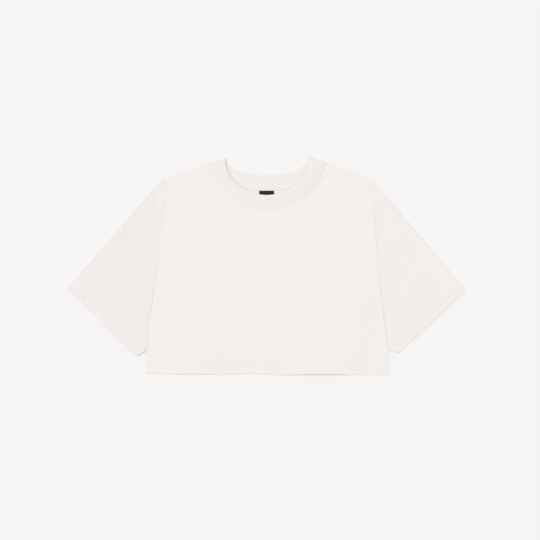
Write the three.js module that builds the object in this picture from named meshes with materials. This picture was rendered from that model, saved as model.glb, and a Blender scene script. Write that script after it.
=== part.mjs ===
// Crop top: a boxy, short T-shirt in heavy off-white jersey, with a wide neckband and elbow-length sleeves.
// It lies flat with its front up, and both sleeves are drawn down beside the body.
// Millimetres, +Z up. Seen from above, +X is to the right and +Y runs from the hem towards the neck.
// Heights up the garment are measured from the hem line, and the origin is originHeight above it.
import * as THREE from 'three';

const originHeight = 216.2;

// Walls and gaps
const jerseyWall = 1.2;
const ribWall = 2.0;
const labelWall = 0.8;
const seamGap = 0.3;
const layerGap = 0.3;
// The straight spans of a panel's neckline cut across the band's curve, which takes up part of their gap.
const necklineGap = 0.5;

// Turned hems: how deep they are, how quickly the step fades, and what the turned layer adds to the wall
const hem = { depth: 20, step: 2.5, extra: 0.5 };

// Levels of the two layers: the back rests on the surface and the front lies on the back.
// The front is lifted over the back's turned hem, and comes down again a little above it.
const frontLevel = jerseyWall + layerGap;
const frontHemEase = 5;

// Half width of the body at heights above the hem line, on each side as it lies.
// The line is the side seam up to the armpit and the armhole seam above it.
const sideRows = [
  { height: 0, left: 242, right: 243.5 },
  { height: 58, left: 239.5, right: 241 },
  { height: 107, left: 236, right: 234.5 },
  { height: 176, left: 223, right: 226 },
  { height: 240, left: 216.5, right: 219.6 },
  { height: 320, left: 206, right: 214.5 },
  { height: 390, left: 203.5, right: 211 },
];
const armpitHeight = 148;

// Height of the two hem edges across the body, and how far the front hem is lifted off the back there.
// The back shows below the front in two shallow waves.
const hemEdgeRows = [
  { across: -242, back: 3.0, front: 3.4, lift: 0 },
  { across: -217, back: 2.0, front: 2.5, lift: 0 },
  { across: -185, back: -0.6, front: 1.6, lift: 0.6 },
  { across: -150, back: -0.5, front: 2.6, lift: 1.4 },
  { across: -122, back: -0.2, front: 1.6, lift: 0.6 },
  { across: -95, back: 0.4, front: 0.9, lift: 0 },
  { across: -60, back: 1.6, front: 2.0, lift: 0 },
  { across: -30, back: 2.2, front: 2.6, lift: 0 },
  { across: 0, back: 1.2, front: 1.7, lift: 0 },
  { across: 30, back: -1.0, front: -0.2, lift: 0.1 },
  { across: 60, back: -2.4, front: 1.2, lift: 1.4 },
  { across: 90, back: -2.8, front: 2.4, lift: 2.4 },
  { across: 140, back: -2.8, front: 2.2, lift: 2.3 },
  { across: 165, back: -1.6, front: 0.6, lift: 0.9 },
  { across: 190, back: 0, front: 0.6, lift: 0 },
  { across: 243.5, back: -0.2, front: 0.4, lift: 0 },
];
const hemLiftReach = 46;

// Height of the shoulder line at distances from the centre line, from the neck point outwards
const shoulderRows = [
  { across: 81, left: 433.2, right: 436 },
  { across: 117, left: 422.6, right: 424.8 },
  { across: 152, left: 410.6, right: 413 },
  { across: 185, left: 399.4, right: 400.6 },
  { across: 213, left: 388.4, right: 385.4 },
];

// Neck: the opening edge of the rib band starts and ends at the neck points, on the shoulder line.
// Fullness bends an arc from an ellipse (1) towards a flatter one.
const frontNeck = { drop: 74.6, fullness: 1.1 };
const backNeck = { drop: 35.4, fullness: 0.92 };
const band = { width: 30.5, shoulderWidth: 38, flare: 6, nose: 1.4 };

// The front layer of the band rolls up beside its opening edge: how high its crest stands, from the left neck
// point (0) to the right one (1). The crest lies the share standCrest of the band's width in from that edge.
const bandStandRows = [
  { t: 0, lift: 2.2 },
  { t: 0.05, lift: 4.6 },
  { t: 0.12, lift: 4.8 },
  { t: 0.19, lift: 2.6 },
  { t: 0.28, lift: 1.2 },
  { t: 0.4, lift: 0.3 },
  { t: 0.6, lift: 0 },
  { t: 0.8, lift: 1.2 },
  { t: 0.92, lift: 2.0 },
  { t: 1, lift: 0.8 },
];
const standCrest = 0.13;

// Ribs of the neckband: how many go round it, and how high each stands on the face that looks up
const ribs = { count: 190, rise: 0.28 };

// Sleeves as they lie. Fall is the slope of the upper edge below the horizontal, in degrees, and cuffFall
// that of the cuff. Crown is how far the shoulder line runs on past the armhole seam, and cuffEnd the height
// at which the cuff comes back to the body. The edges bow outwards by bow and cuffBow.
// From tuckFrom, a share of the way down the sleeve, the upper layer sinks towards the cuff, where the share
// tuck of its rise is left. At the cuff's lower corner it stands back from the lower layer by lap, and off it
// by gape.
const sleeveRows = [
  { name: 'sleeve_left', side: -1, key: 'left', crown: 8.5, length: 285.4, fall: 49.36, bow: 0.6,
    cuff: 194.3, cuffFall: 44.67, cuffBow: -1, cuffEnd: 47.5,
    tuckFrom: 0.72, tuck: 0.7, lap: 3, gape: 1.8 },
  { name: 'sleeve_right', side: 1, key: 'right', crown: 2.5, length: 284, fall: 49.51, bow: 0.8,
    cuff: 183.3, cuffFall: 43.4, cuffBow: -0.8, cuffEnd: 47,
    tuckFrom: 0.62, tuck: 0.14, lap: 1.5, gape: 0.4 },
];
// How high a sleeve's upper layer stands off its lower one across its width, from the upper fold (0) to the
// underarm fold (1). The left sleeve's upper fold stands up in a roll.
const sleeveRiseRows = [
  { across: 0, left: 0, right: 0 },
  { across: 0.022, left: 3.2, right: 0.9 },
  { across: 0.14, left: 0.8, right: 2.6 },
  { across: 0.42, left: 1.5, right: 4.8 },
  { across: 0.7, left: 1.7, right: 3.8 },
  { across: 0.94, left: 1.1, right: 1.6 },
  { across: 1, left: 0, right: 0 },
];
// The lap starts this share of the way down the cuff, and takes lapWidth to reach its full depth.
const lapStart = 0.8;
const lapWidth = 0.14;
// The sleeve's underarm moves away from the side seam over the first part of its length.
const sleeveGap = { full: 0.5, ease: 0.25 };

// Neck label, sewn in at the back neck seam and lying on the inside of the back
const label = { width: 30, length: 10, offset: -1 };

// How high the front stands off the back, how broad its slopes are at the sides and the hem, and what is left
// of its rise at the hem's edge. It comes down to the back along the side seams and the shoulders.
const bodyPuff = { rise: 3.2, left: 90, right: 54, hemSlope: 64, hemShare: 0.1 };
const bodyEase = { side: 26, shoulder: 24 };
// The armhole seam of the upper layer stands off the lower one, and comes down over ease at both its ends.
const armholeLift = { rise: 2.8, ease: 60 };
// The front lies lower on an oval ring under the neckband, whose middle is at height on the centre line.
const neckRing = { lift: 1.5, breadth: 0.34, halfWidth: 112, halfHeight: 94, height: 422 };
// Share of a sleeve's width and length over which its upper layer comes down to its edges, and share of its
// width over which the armhole's lift does
const sleeveEase = 0.22;
const armholeShare = 0.08;

// Soft folds of the upper layer: where the crest lies, which way it runs in degrees from +X, how long and how
// broad it is, and how far it stands up. A hollow has a negative rise.
const frontFolds = [
  { x: -46, y: 96, turn: 86, length: 88, breadth: 18, rise: 0.9 },
  { x: -4, y: 126, turn: 93, length: 104, breadth: 17, rise: 1.0 },
  { x: 36, y: 104, turn: 97, length: 112, breadth: 18, rise: 0.9 },
  { x: 92, y: 74, turn: 90, length: 74, breadth: 22, rise: 0.7 },
  { x: -112, y: 80, turn: 82, length: 84, breadth: 22, rise: 0.9 },
  { x: 178, y: 104, turn: 80, length: 96, breadth: 20, rise: 1.3 },
  { x: -186, y: 128, turn: 99, length: 110, breadth: 21, rise: 0.9 },
  { x: -136, y: 372, turn: 122, length: 48, breadth: 20, rise: 0.6 },
  { x: 128, y: 362, turn: 55, length: 52, breadth: 20, rise: 0.9 },
  { x: 0, y: 256, turn: 3, length: 120, breadth: 34, rise: -0.6 },
];
const sleeveFolds = [
  { side: -1, x: -238, y: 326, turn: 82, length: 60, breadth: 15, rise: 0.6 },
  { side: -1, x: -362, y: 178, turn: 96, length: 40, breadth: 17, rise: 1.0 },
  { side: -1, x: -296, y: 120, turn: 46, length: 62, breadth: 24, rise: 0.8 },
  { side: 1, x: 262, y: 286, turn: 112, length: 88, breadth: 19, rise: 1.0 },
  { side: 1, x: 318, y: 196, turn: 142, length: 74, breadth: 25, rise: 1.0 },
  { side: 1, x: 372, y: 184, turn: 60, length: 34, breadth: 15, rise: 0.9 },
];

// Mesh steps
const bodyColumns = { shoulder: 6, neckline: 22 };
const frontRowsAboveHem = 17;
const backRowsAboveHem = 14;
const sleeveStations = 11;
const sleeveSpans = 10;

// Helpers for curves
const smooth = (t) => {
  const s = THREE.MathUtils.clamp(t, 0, 1);
  return s * s * (3 - 2 * s);
};
const mix = THREE.MathUtils.lerp;
const mixPoint = (a, b, t) => [mix(a[0], b[0], t), mix(a[1], b[1], t)];

// A smooth value from a table whose rows are sorted by one column.
function fromTable(rows, by, column, at) {
  const last = rows.length - 1;
  const slope = (i) => {
    const a = rows[Math.max(i - 1, 0)];
    const b = rows[Math.min(i + 1, last)];
    return (b[column] - a[column]) / (b[by] - a[by]);
  };
  let i = 0;
  while (i < last - 1 && at > rows[i + 1][by]) i += 1;
  const span = rows[i + 1][by] - rows[i][by];
  const t = THREE.MathUtils.clamp((at - rows[i][by]) / span, 0, 1);
  const rise = rows[i + 1][column] - rows[i][column];
  const ease = smooth(t);
  return rows[i][column] + rise * ease
    + span * t * (1 - t) * (slope(i) * (1 - t) - slope(i + 1) * t);
}

const halfWidthAt = (key, height) => fromTable(sideRows, 'height', key, height);
const shoulderAt = (x) => fromTable(shoulderRows, 'across', x < 0 ? 'left' : 'right', Math.abs(x));

// The neck points and the slope of the shoulder line beside them
const neckHalf = shoulderRows[0].across;
const neckPoint = { left: shoulderRows[0].left, right: shoulderRows[0].right };
const neckSlope = (shoulderRows[0].left - shoulderRows[1].left) / (shoulderRows[1].across - neckHalf);

// The armhole seam meets the shoulder line at the shoulder point.
const shoulderPoint = (key, side) => {
  const x = side * sideRows[sideRows.length - 1][key];
  return [x, shoulderAt(x)];
};

// How far the upper layer stands off the lower one along the armhole seam
const armholeLiftAt = (key, side, height) => armholeLift.rise
  * smooth((height - armpitHeight) / armholeLift.ease)
  * smooth((shoulderPoint(key, side)[1] - height) / armholeLift.ease);

// A patch between four edges: hem and top run from left to right, left and right run from hem to top.
function patchBetween({ bottom, top, left, right }) {
  const corners = [bottom(0), bottom(1), top(0), top(1)];
  return (u, v) => [0, 1].map((axis) => {
    const ruled = mix(bottom(u)[axis], top(u)[axis], v) + mix(left(v)[axis], right(v)[axis], u);
    const [a, b, c, d] = corners.map((corner) => corner[axis]);
    const flat = mix(mix(a, b, u), mix(c, d, u), v);
    return ruled - flat;
  });
}

// Height of a table of folds at a place in plan.
function foldHeight(rows, x, y) {
  return rows.reduce((sum, fold) => {
    const turn = THREE.MathUtils.degToRad(fold.turn);
    const along = (x - fold.x) * Math.cos(turn) + (y - fold.y) * Math.sin(turn);
    const across = (y - fold.y) * Math.cos(turn) - (x - fold.x) * Math.sin(turn);
    return sum + fold.rise * Math.exp(-((along / fold.length) ** 2) - (across / fold.breadth) ** 2);
  }, 0);
}

// Turns vertices and faces into a mesh geometry whose faces look outwards.
function geometryFrom(points, faces) {
  const corner = (i) => new THREE.Vector3(...points[i]);
  const volume = faces.reduce((sum, [a, b, c]) => sum + corner(a).dot(corner(b).cross(corner(c))), 0);
  const outward = volume < 0 ? faces.map(([a, b, c]) => [a, c, b]) : faces;
  const geometry = new THREE.BufferGeometry();
  geometry.setAttribute('position', new THREE.Float32BufferAttribute(points.flat(), 3));
  geometry.setIndex(outward.flat());
  geometry.computeVertexNormals();
  return geometry;
}

// A closed wall between an upper and a lower grid of points, joined round their rim.
function wallBetween(upper, lower) {
  const columns = upper.length;
  const rows = upper[0].length;
  const points = [...upper.flat(), ...lower.flat()];
  const faces = [];
  const top = (i, j) => i * rows + j;
  const under = (i, j) => columns * rows + top(i, j);
  const quad = (a, b, c, d) => faces.push([a, b, c], [a, c, d]);
  for (let i = 0; i < columns - 1; i += 1) {
    for (let j = 0; j < rows - 1; j += 1) {
      quad(top(i, j), top(i + 1, j), top(i + 1, j + 1), top(i, j + 1));
      quad(under(i, j), under(i, j + 1), under(i + 1, j + 1), under(i + 1, j));
    }
    quad(under(i, 0), under(i + 1, 0), top(i + 1, 0), top(i, 0));
    quad(top(i, rows - 1), top(i + 1, rows - 1), under(i + 1, rows - 1), under(i, rows - 1));
  }
  for (let j = 0; j < rows - 1; j += 1) {
    quad(top(0, j), top(0, j + 1), under(0, j + 1), under(0, j));
    quad(under(columns - 1, j), under(columns - 1, j + 1), top(columns - 1, j + 1), top(columns - 1, j));
  }
  return geometryFrom(points, faces);
}

// A closed ring of sections, each a closed loop of points.
function ringOf(sections) {
  const count = sections[0].length;
  const faces = [];
  sections.forEach((_, c) => {
    const next = (c + 1) % sections.length;
    for (let k = 0; k < count; k += 1) {
      const [a, b] = [c * count + k, next * count + k];
      const [d, e] = [c * count + ((k + 1) % count), next * count + ((k + 1) % count)];
      faces.push([a, b, e], [a, e, d]);
    }
  });
  return geometryFrom(sections.flat(), faces);
}

// Neckband: one ring of rib, laid double. At the neck points it turns over from the front layer to the back
// one, round a fold whose outer face reaches the shoulder line.
const foldRadius = ribWall / 2 + layerGap;
const foldSetBack = foldRadius + ribWall / 2;

// An arc's opening edge in plan, from the left neck point (0) to the right one (1)
function openingEdge(arc, t) {
  const angle = Math.PI * t;
  const depth = (arc.drop - foldSetBack) * Math.sin(angle) ** arc.fullness;
  return [-neckHalf * Math.cos(angle), mix(neckPoint.left, neckPoint.right, t) - foldSetBack - depth];
}

// The band runs off square to its opening edge, and along the shoulder line at the neck points.
function acrossBand(arc, t) {
  const step = 1e-4;
  const [at, on] = [openingEdge(arc, Math.max(t - step, 0)), openingEdge(arc, Math.min(t + step, 1))];
  const square = new THREE.Vector2(on[1] - at[1], at[0] - on[0]).normalize();
  const side = t < 0.5 ? -1 : 1;
  const shoulder = new THREE.Vector2(side, -neckSlope).normalize();
  const share = Math.abs(Math.cos(Math.PI * t)) ** band.flare;
  const direction = square.lerp(shoulder, share).normalize();
  return { direction, width: mix(band.width, band.shoulderWidth, share) };
}

function bandPoint(arc, t, from, past = 0) {
  const { direction, width } = acrossBand(arc, t);
  const [x, y] = openingEdge(arc, t);
  const reach = width * from + past;
  return [x + direction.x * reach, y + direction.y * reach];
}

// Body panels: the upper edge runs up the shoulder, round the neckline and down the other shoulder
const shoulderShare = 0.26;
const panelShoulder = band.shoulderWidth + necklineGap + foldSetBack * neckSlope;
const panelNeckHalf = neckHalf + panelShoulder / Math.hypot(1, neckSlope);
function upperEdge(arc, u) {
  const [key, side] = u < 0.5 ? ['left', -1] : ['right', 1];
  const fromEnd = Math.min(u, 1 - u);
  if (fromEnd > shoulderShare) {
    return bandPoint(arc, (u - shoulderShare) / (1 - 2 * shoulderShare), 1, necklineGap);
  }
  const x = mix(shoulderPoint(key, side)[0], side * panelNeckHalf, fromEnd / shoulderShare);
  return [x, shoulderAt(x)];
}

const hemEdgeAt = (layer, x) => fromTable(hemEdgeRows, 'across', layer, x);

function bodyPatch(arc, layer) {
  const sideEdge = (key, side) => (v) => {
    const height = mix(hemEdgeAt(layer, side * sideRows[0][key]), shoulderPoint(key, side)[1], v);
    return [side * halfWidthAt(key, height), height];
  };
  return patchBetween({
    bottom: (u) => {
      const x = mix(-sideRows[0].left, sideRows[0].right, u);
      return [x, hemEdgeAt(layer, x)];
    },
    top: (u) => upperEdge(arc, u),
    left: sideEdge('left', -1),
    right: sideEdge('right', 1),
  });
}

// How far the upper layer of the body stands off the lower one. It comes down towards the lower layer along
// the sides, the shoulders and the hem.
function frontLift(x, y) {
  const [key, side] = x < 0 ? ['left', -1] : ['right', 1];
  const fromSide = halfWidthAt(key, y) - Math.abs(x);
  const fromShoulder = (shoulderAt(x) - y) / Math.hypot(1, neckSlope);
  const puff = bodyPuff.rise * mix(bodyPuff.hemShare, 1, smooth(y / bodyPuff.hemSlope));
  const offRing = Math.hypot(x / neckRing.halfWidth, (y - neckRing.height) / neckRing.halfHeight) - 1;
  const ring = Math.exp(-((offRing / neckRing.breadth) ** 2));
  const inside = mix(puff, neckRing.lift, ring);
  const base = mix(armholeLiftAt(key, side, y), inside, smooth(fromSide / bodyPuff[key]));
  const hemLift = fromTable(hemEdgeRows, 'across', 'lift', x) * (1 - smooth(y / hemLiftReach));
  const local = smooth(fromSide / bodyEase.side) * (foldHeight(frontFolds, x, y) + hemLift);
  return smooth(fromShoulder / bodyEase.shoulder) * (base + local);
}

// The turned hem is a little thicker than the rest, and an edge is rounded off a little.
const edgeWidth = 1.6;
const edgeRoll = 0.35;
const hemShare = (fromEdge) => 1 - smooth((fromEdge - hem.depth) / hem.step);
const edgeRound = (fromEdge) => edgeRoll * (1 - smooth(fromEdge / edgeWidth));

// Rows of a panel from its hem to its upper edge, as shares of the column that they lie on
const hemRows = [0, edgeWidth, hem.depth, hem.depth + hem.step];
function rowsUp(patch, u, count) {
  const length = patch(u, 1)[1] - patch(u, 0)[1];
  const start = hemRows[hemRows.length - 1] / length;
  const above = Array.from({ length: count }, (_, i) => mix(start, 1, (i + 1) / count));
  return [...hemRows.map((height) => height / length), ...above];
}

// Columns stand closer together at the neck points, where the neckline turns most.
const closerAtEnds = 0.6;
function columnsAcross() {
  const { shoulder, neckline } = bodyColumns;
  const edge = edgeWidth / (sideRows[0].left + sideRows[0].right);
  const side = Array.from({ length: shoulder }, (_, i) => (shoulderShare * (i + 1)) / shoulder);
  const middle = Array.from({ length: neckline - 1 }, (_, i) => {
    const even = (i + 1) / neckline;
    return mix(shoulderShare, 1 - shoulderShare, mix(even, smooth(even), closerAtEnds));
  });
  return [0, edge, ...side, ...middle, ...side.map((u) => 1 - u).reverse(), 1 - edge, 1];
}

// Lays a panel out as a grid of places, and gives each its height.
function panelGrid(patch, rowCount, height) {
  const across = sideRows[0].left + sideRows[0].right;
  return columnsAcross().map((u) => rowsUp(patch, u, rowCount).map((v) => {
    const [x, y] = patch(u, v);
    const fromHem = y - patch(u, 0)[1];
    const fromSide = Math.min(u, 1 - u) * across;
    return [x, y, height(x, y, fromHem, fromSide)];
  }));
}

function backPanel() {
  const patch = bodyPatch(backNeck, 'back');
  const over = (x, y, fromHem) => jerseyWall + hem.extra * hemShare(fromHem);
  return wallBetween(panelGrid(patch, backRowsAboveHem, over), panelGrid(patch, backRowsAboveHem, () => 0));
}

// Where the back is turned up its hem carries the front's, so the front rises over the same depth.
function frontPanel() {
  const patch = bodyPatch(frontNeck, 'front');
  const backHem = (x, y) => hemShare(y - hemEdgeAt('back', x) - frontHemEase);
  const under = (x, y) => frontLevel + hem.extra * backHem(x, y) + frontLift(x, y);
  const over = (x, y, fromHem, fromSide) => under(x, y) + jerseyWall + hem.extra * hemShare(fromHem)
    - edgeRound(fromSide) - edgeRound(fromHem);
  return wallBetween(panelGrid(patch, frontRowsAboveHem, over), panelGrid(patch, frontRowsAboveHem, under));
}

// Sleeve: a flattened tube. u runs from the armhole to the cuff, and q from the upper fold to the underarm.
// The crown is the first short stretch of the upper fold. The cuff turns back to the body at its lower end.
const crownShare = 0.05;
const cuffShare = 0.89;
function sleevePatch(row) {
  const { side, key } = row;
  const start = shoulderPoint(key, side);
  const crownX = start[0] + side * row.crown;
  const crownEnd = [crownX, shoulderAt(crownX)];
  const fall = THREE.MathUtils.degToRad(row.fall);
  const cuffFall = THREE.MathUtils.degToRad(row.cuffFall);
  const tip = [crownX + side * row.length * Math.cos(fall), crownEnd[1] - row.length * Math.sin(fall)];
  const corner = [tip[0] - side * row.cuff * Math.cos(cuffFall), tip[1] - row.cuff * Math.sin(cuffFall)];
  const besideBody = (height, gap) => [side * (halfWidthAt(key, height) + gap), height];
  const gapAt = (u) => mix(seamGap, sleeveGap.full, smooth(u / sleeveGap.ease));
  const bowed = (from, to, t, bow) => {
    const [x, y] = mixPoint(from, to, t);
    const out = (bow * Math.sin(Math.PI * t)) / Math.hypot(to[0] - from[0], to[1] - from[1]);
    return [x - side * (to[1] - from[1]) * out, y + side * (to[0] - from[0]) * out];
  };
  const place = patchBetween({
    bottom: (u) => (u < crownShare ? mixPoint([start[0] + side * seamGap, start[1]], crownEnd, u / crownShare)
      : bowed(crownEnd, tip, (u - crownShare) / (1 - crownShare), row.bow)),
    top: (u) => besideBody(mix(armpitHeight, row.cuffEnd, u), gapAt(u)),
    left: (q) => besideBody(mix(start[1], armpitHeight, q), seamGap),
    right: (q) => (q < cuffShare ? bowed(tip, corner, q / cuffShare, row.cuffBow)
      : mixPoint(corner, besideBody(row.cuffEnd, gapAt(1)), (q - cuffShare) / (1 - cuffShare))),
  });
  // How far a whole step of u goes towards the cuff, square to it, beside the cuff
  const reach = (q) => {
    const near = 0.9;
    const [at, on] = [place(near, q), place(1, q)];
    const run = (on[0] - at[0]) * side * Math.sin(cuffFall) - (on[1] - at[1]) * Math.cos(cuffFall);
    return run / (1 - near);
  };
  return { place, reach };
}

// Places round the tube: how far in from the fold, in millimetres for the outer and the inner face, and the
// share of the height at which they lie there, 1 being the upper layer and 0 the lower one.
const foldSteps = [
  { outer: 0, inner: jerseyWall, level: 0.5 },
  { outer: 0.5, inner: jerseyWall + 0.2, level: 0.85 },
  { outer: edgeWidth, inner: jerseyWall + 1, level: 1 },
  { outer: 5, inner: 5, level: 1 },
  { outer: 14, inner: 14, level: 1 },
];
const sleeveWidth = 230;

function sleeveRing() {
  const folds = foldSteps.map(({ outer, inner, level }) => (
    { outer: outer / sleeveWidth, inner: inner / sleeveWidth, level }));
  const mirrored = ({ outer, inner, level }) => ({ outer: 1 - outer, inner: 1 - inner, level });
  const underarm = folds.map(mirrored).reverse();
  const first = folds[folds.length - 1].outer;
  const even = Array.from({ length: sleeveSpans }, (_, i) => mix(first, cuffShare, (i + 1) / sleeveSpans));
  const between = [...even, mix(cuffShare, 1, 0.5)].map((q) => ({ outer: q, inner: q, level: 1 }));
  const upper = [...folds, ...between, ...underarm];
  const lower = upper.slice(1, -1).reverse().map((place) => ({ ...place, level: 1 - place.level }));
  return [...upper, ...lower];
}

function sleeve(row) {
  const { place, reach } = sleevePatch(row);
  const folds = sleeveFolds.filter((fold) => fold.side === row.side);
  const hemTop = hem.depth + hem.step;
  const stations = Array.from({ length: sleeveStations }, (_, i) => (
    { share: i / (sleeveStations - 1), fromCuff: hemTop }));
  stations.push(...[hem.depth, edgeWidth, 0].map((fromCuff) => ({ share: 1, fromCuff })));
  const lapAt = (q) => smooth((q - lapStart) / lapWidth);
  const lift = (u, q, x, y) => {
    const edges = smooth(q / sleeveEase) * smooth((1 - q) / sleeveEase);
    const tuck = mix(1, row.tuck, smooth((u - row.tuckFrom) / (1 - row.tuckFrom)));
    const gape = lapAt(q) * smooth((1 - q) / (1 - lapStart - lapWidth)) * smooth((u - 1) / sleeveEase + 1);
    const between = smooth(q / armholeShare) * smooth((1 - q) / armholeShare);
    const seam = armholeLiftAt(row.key, row.side, y) * between;
    const own = tuck * (fromTable(sleeveRiseRows, 'across', row.key, q) + edges * foldHeight(folds, x, y));
    return mix(seam, own, smooth(u / sleeveEase)) + row.gape * gape;
  };
  // A place on one layer: plan, wall thickness there, and how high the upper layer is lifted
  const spot = ({ share, fromCuff }, q, level) => {
    const u = share * (1 - (fromCuff + row.lap * lapAt(q) * level) / reach(q));
    const [x, y] = place(u, q);
    const wall = jerseyWall + hem.extra * (share < 1 ? 0 : hemShare(fromCuff));
    return { x, y, wall, rise: lift(u, q, x, y) };
  };
  const outerPoint = (station, { outer, level }) => {
    const { x, y, wall, rise } = spot(station, outer, level);
    const round = edgeRound(station.fromCuff) * Math.abs(2 * level - 1);
    return [x, y, (2 * wall + layerGap + rise - round) * level];
  };
  const innerPoint = (station, { inner, level }) => {
    const { x, y, wall, rise } = spot(station, inner, level);
    return [x, y, wall + (layerGap + rise) * level];
  };
  const sections = sleeveRing().map((ring) => [
    ...stations.map((station) => outerPoint(station, ring)),
    ...[...stations].reverse().map((station) => innerPoint(station, ring)),
  ]);
  return ringOf(sections);
}

// Even steps along the middle line of the band on one arc
function measured(arc) {
  const steps = 240;
  const places = Array.from({ length: steps + 1 }, (_, i) => bandPoint(arc, i / steps, 0.5));
  const run = [0];
  places.slice(1).forEach(([x, y], i) => run.push(run[i] + Math.hypot(x - places[i][0], y - places[i][1])));
  const placeAt = (share) => {
    const aim = share * run[steps];
    const i = Math.max(run.findIndex((length) => length >= aim), 1);
    return (i - 1 + (aim - run[i - 1]) / (run[i] - run[i - 1])) / steps;
  };
  return { length: run[steps], placeAt };
}

// The band runs along the front arc, turns over at the right neck point, comes back along the back arc and
// turns over at the left one. Turn is 0 on the front layer and 1 on the back one.
function bandStops() {
  const front = measured(frontNeck);
  const back = measured(backNeck);
  const fold = Math.PI * foldRadius;
  const stretches = [
    { length: front.length, stop: (s) => ({ arc: frontNeck, t: front.placeAt(s), turn: 0 }) },
    { length: fold, stop: (s) => ({ arc: frontNeck, t: 1, turn: s }) },
    { length: back.length, stop: (s) => ({ arc: backNeck, t: 1 - back.placeAt(s), turn: 1 }) },
    { length: fold, stop: (s) => ({ arc: frontNeck, t: 0, turn: 1 - s }) },
  ];
  const total = front.length + back.length + 2 * fold;
  return Array.from({ length: 2 * ribs.count }, (_, c) => {
    let along = (c / (2 * ribs.count)) * total;
    const stretch = stretches.find(({ length }) => {
      if (along < length) return true;
      along -= length;
      return false;
    });
    return { ...stretch.stop(along / stretch.length), crest: c % 2 };
  });
}

function neckband() {
  const nose = band.nose / band.width;
  const half = ribWall / 2;
  const middle = half + foldRadius;
  const sections = bandStops().map(({ arc, t, turn, crest }) => {
    const angle = Math.PI * (0.5 - turn);
    const side = t < 0.5 ? -1 : 1;
    const square = new THREE.Vector2(side * neckSlope, 1).normalize();
    const stand = fromTable(bandStandRows, 't', 'lift', t) * (1 - turn);
    const roll = (from) => smooth(from / standCrest) * (1 - smooth((from - standCrest) / (1 - standCrest)));
    const outward = half + ribs.rise * crest * (1 - turn);
    const inward = -half - (turn === 1 ? ribs.rise * crest : 0);
    const point = (from, off) => {
      const [x, y] = bandPoint(arc, t, from);
      const reach = (foldRadius + off) * Math.cos(angle);
      const height = middle + (foldRadius + off) * Math.sin(angle) + stand * roll(from);
      return [x + square.x * reach, y + square.y * reach, height];
    };
    const over = [nose, standCrest, 1].map((from) => point(from, outward));
    const under = [1, standCrest, nose].map((from) => point(from, inward));
    return [point(0, 0), ...over, ...under];
  });
  return ringOf(sections);
}

function neckLabel() {
  const seam = bandPoint(backNeck, 0.5, 1)[1];
  const geometry = new THREE.BoxGeometry(label.width, label.length, labelWall);
  geometry.translate(label.offset, seam - seamGap - label.length / 2, jerseyWall + layerGap + labelWall / 2);
  return geometry;
}

// Materials
const jersey = new THREE.MeshStandardMaterial({ color: '#f4efec', roughness: 0.92, metalness: 0 });
const rib = new THREE.MeshStandardMaterial({ color: '#f2ede9', roughness: 0.94, metalness: 0 });
const blackTape = new THREE.MeshStandardMaterial({ color: '#1a1716', roughness: 0.7, metalness: 0 });

function piece(name, geometry, material) {
  const mesh = new THREE.Mesh(geometry, material);
  mesh.name = name;
  return mesh;
}

const cropTop = new THREE.Group();
cropTop.add(
  piece('back_panel', backPanel(), jersey),
  piece('front_panel', frontPanel(), jersey),
  ...sleeveRows.map((row) => piece(row.name, sleeve(row), jersey)),
  piece('neckband', neckband(), rib),
  piece('neck_label', neckLabel(), blackTape),
);

// The origin is the middle of the garment's outline, on the surface that it lies on.
cropTop.position.set(0, -originHeight, 0);

export default cropTop;
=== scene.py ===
"""Crop top: a boxy, short T-shirt in heavy off-white jersey, laid flat with its front up.

Each operator builds one piece of the garment. Everything is in metres, with +Z up. Seen from above, +X is to the
right and +Y runs from the hem towards the neck. Heights up the garment are measured from its hem line.
"""

import math

import bpy
import numpy as np
from bpy.props import FloatProperty, FloatVectorProperty, IntProperty, PointerProperty
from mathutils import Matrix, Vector
from mathutils.bvhtree import BVHTree


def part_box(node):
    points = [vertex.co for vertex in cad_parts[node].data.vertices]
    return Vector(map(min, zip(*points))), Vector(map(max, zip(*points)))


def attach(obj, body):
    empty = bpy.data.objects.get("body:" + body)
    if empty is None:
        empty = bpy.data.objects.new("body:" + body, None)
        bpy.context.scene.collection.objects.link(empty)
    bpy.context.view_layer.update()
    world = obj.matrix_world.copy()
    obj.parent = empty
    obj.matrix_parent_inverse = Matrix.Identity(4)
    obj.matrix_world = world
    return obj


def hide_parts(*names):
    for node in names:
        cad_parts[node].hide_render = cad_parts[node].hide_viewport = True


bl_info = {
    "name": "Crop top",
    "version": (1, 0, 0),
    "blender": (4, 5, 0),
    "location": "View3D > Sidebar > Crop top",
    "description": "Builds a boxy crop top piece by piece, as it lies flat",
    "category": "Add Mesh",
}

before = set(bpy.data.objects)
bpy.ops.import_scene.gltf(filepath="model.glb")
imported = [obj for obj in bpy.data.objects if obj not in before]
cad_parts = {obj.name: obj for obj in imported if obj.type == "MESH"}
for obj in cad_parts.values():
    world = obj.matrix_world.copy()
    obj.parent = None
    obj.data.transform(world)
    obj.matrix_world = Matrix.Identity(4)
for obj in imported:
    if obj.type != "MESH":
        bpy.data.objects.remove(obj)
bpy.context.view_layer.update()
label_low, label_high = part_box("neck_label")

# Where the frame's origin lies on the garment
ORIGIN_HEIGHT = 0.2162

# Walls and gaps
JERSEY_WALL = 0.0012
RIB_WALL = 0.002
LAYER_GAP = 0.0003
NECKLINE_GAP = -0.0001
FRONT_LEVEL = JERSEY_WALL + LAYER_GAP

# Turned hems
HEM_DEPTH = 0.020
HEM_STEP = 0.0060
HEM_EXTRA = 0.0002
FRONT_HEM_EASE = 0.005
HEM_LIFT_REACH = 0.046

# Height of the armpit, and the share of a panel's columns that each shoulder takes
ARMPIT_HEIGHT = 0.148
SHOULDER_SHARE = 0.26

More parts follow.
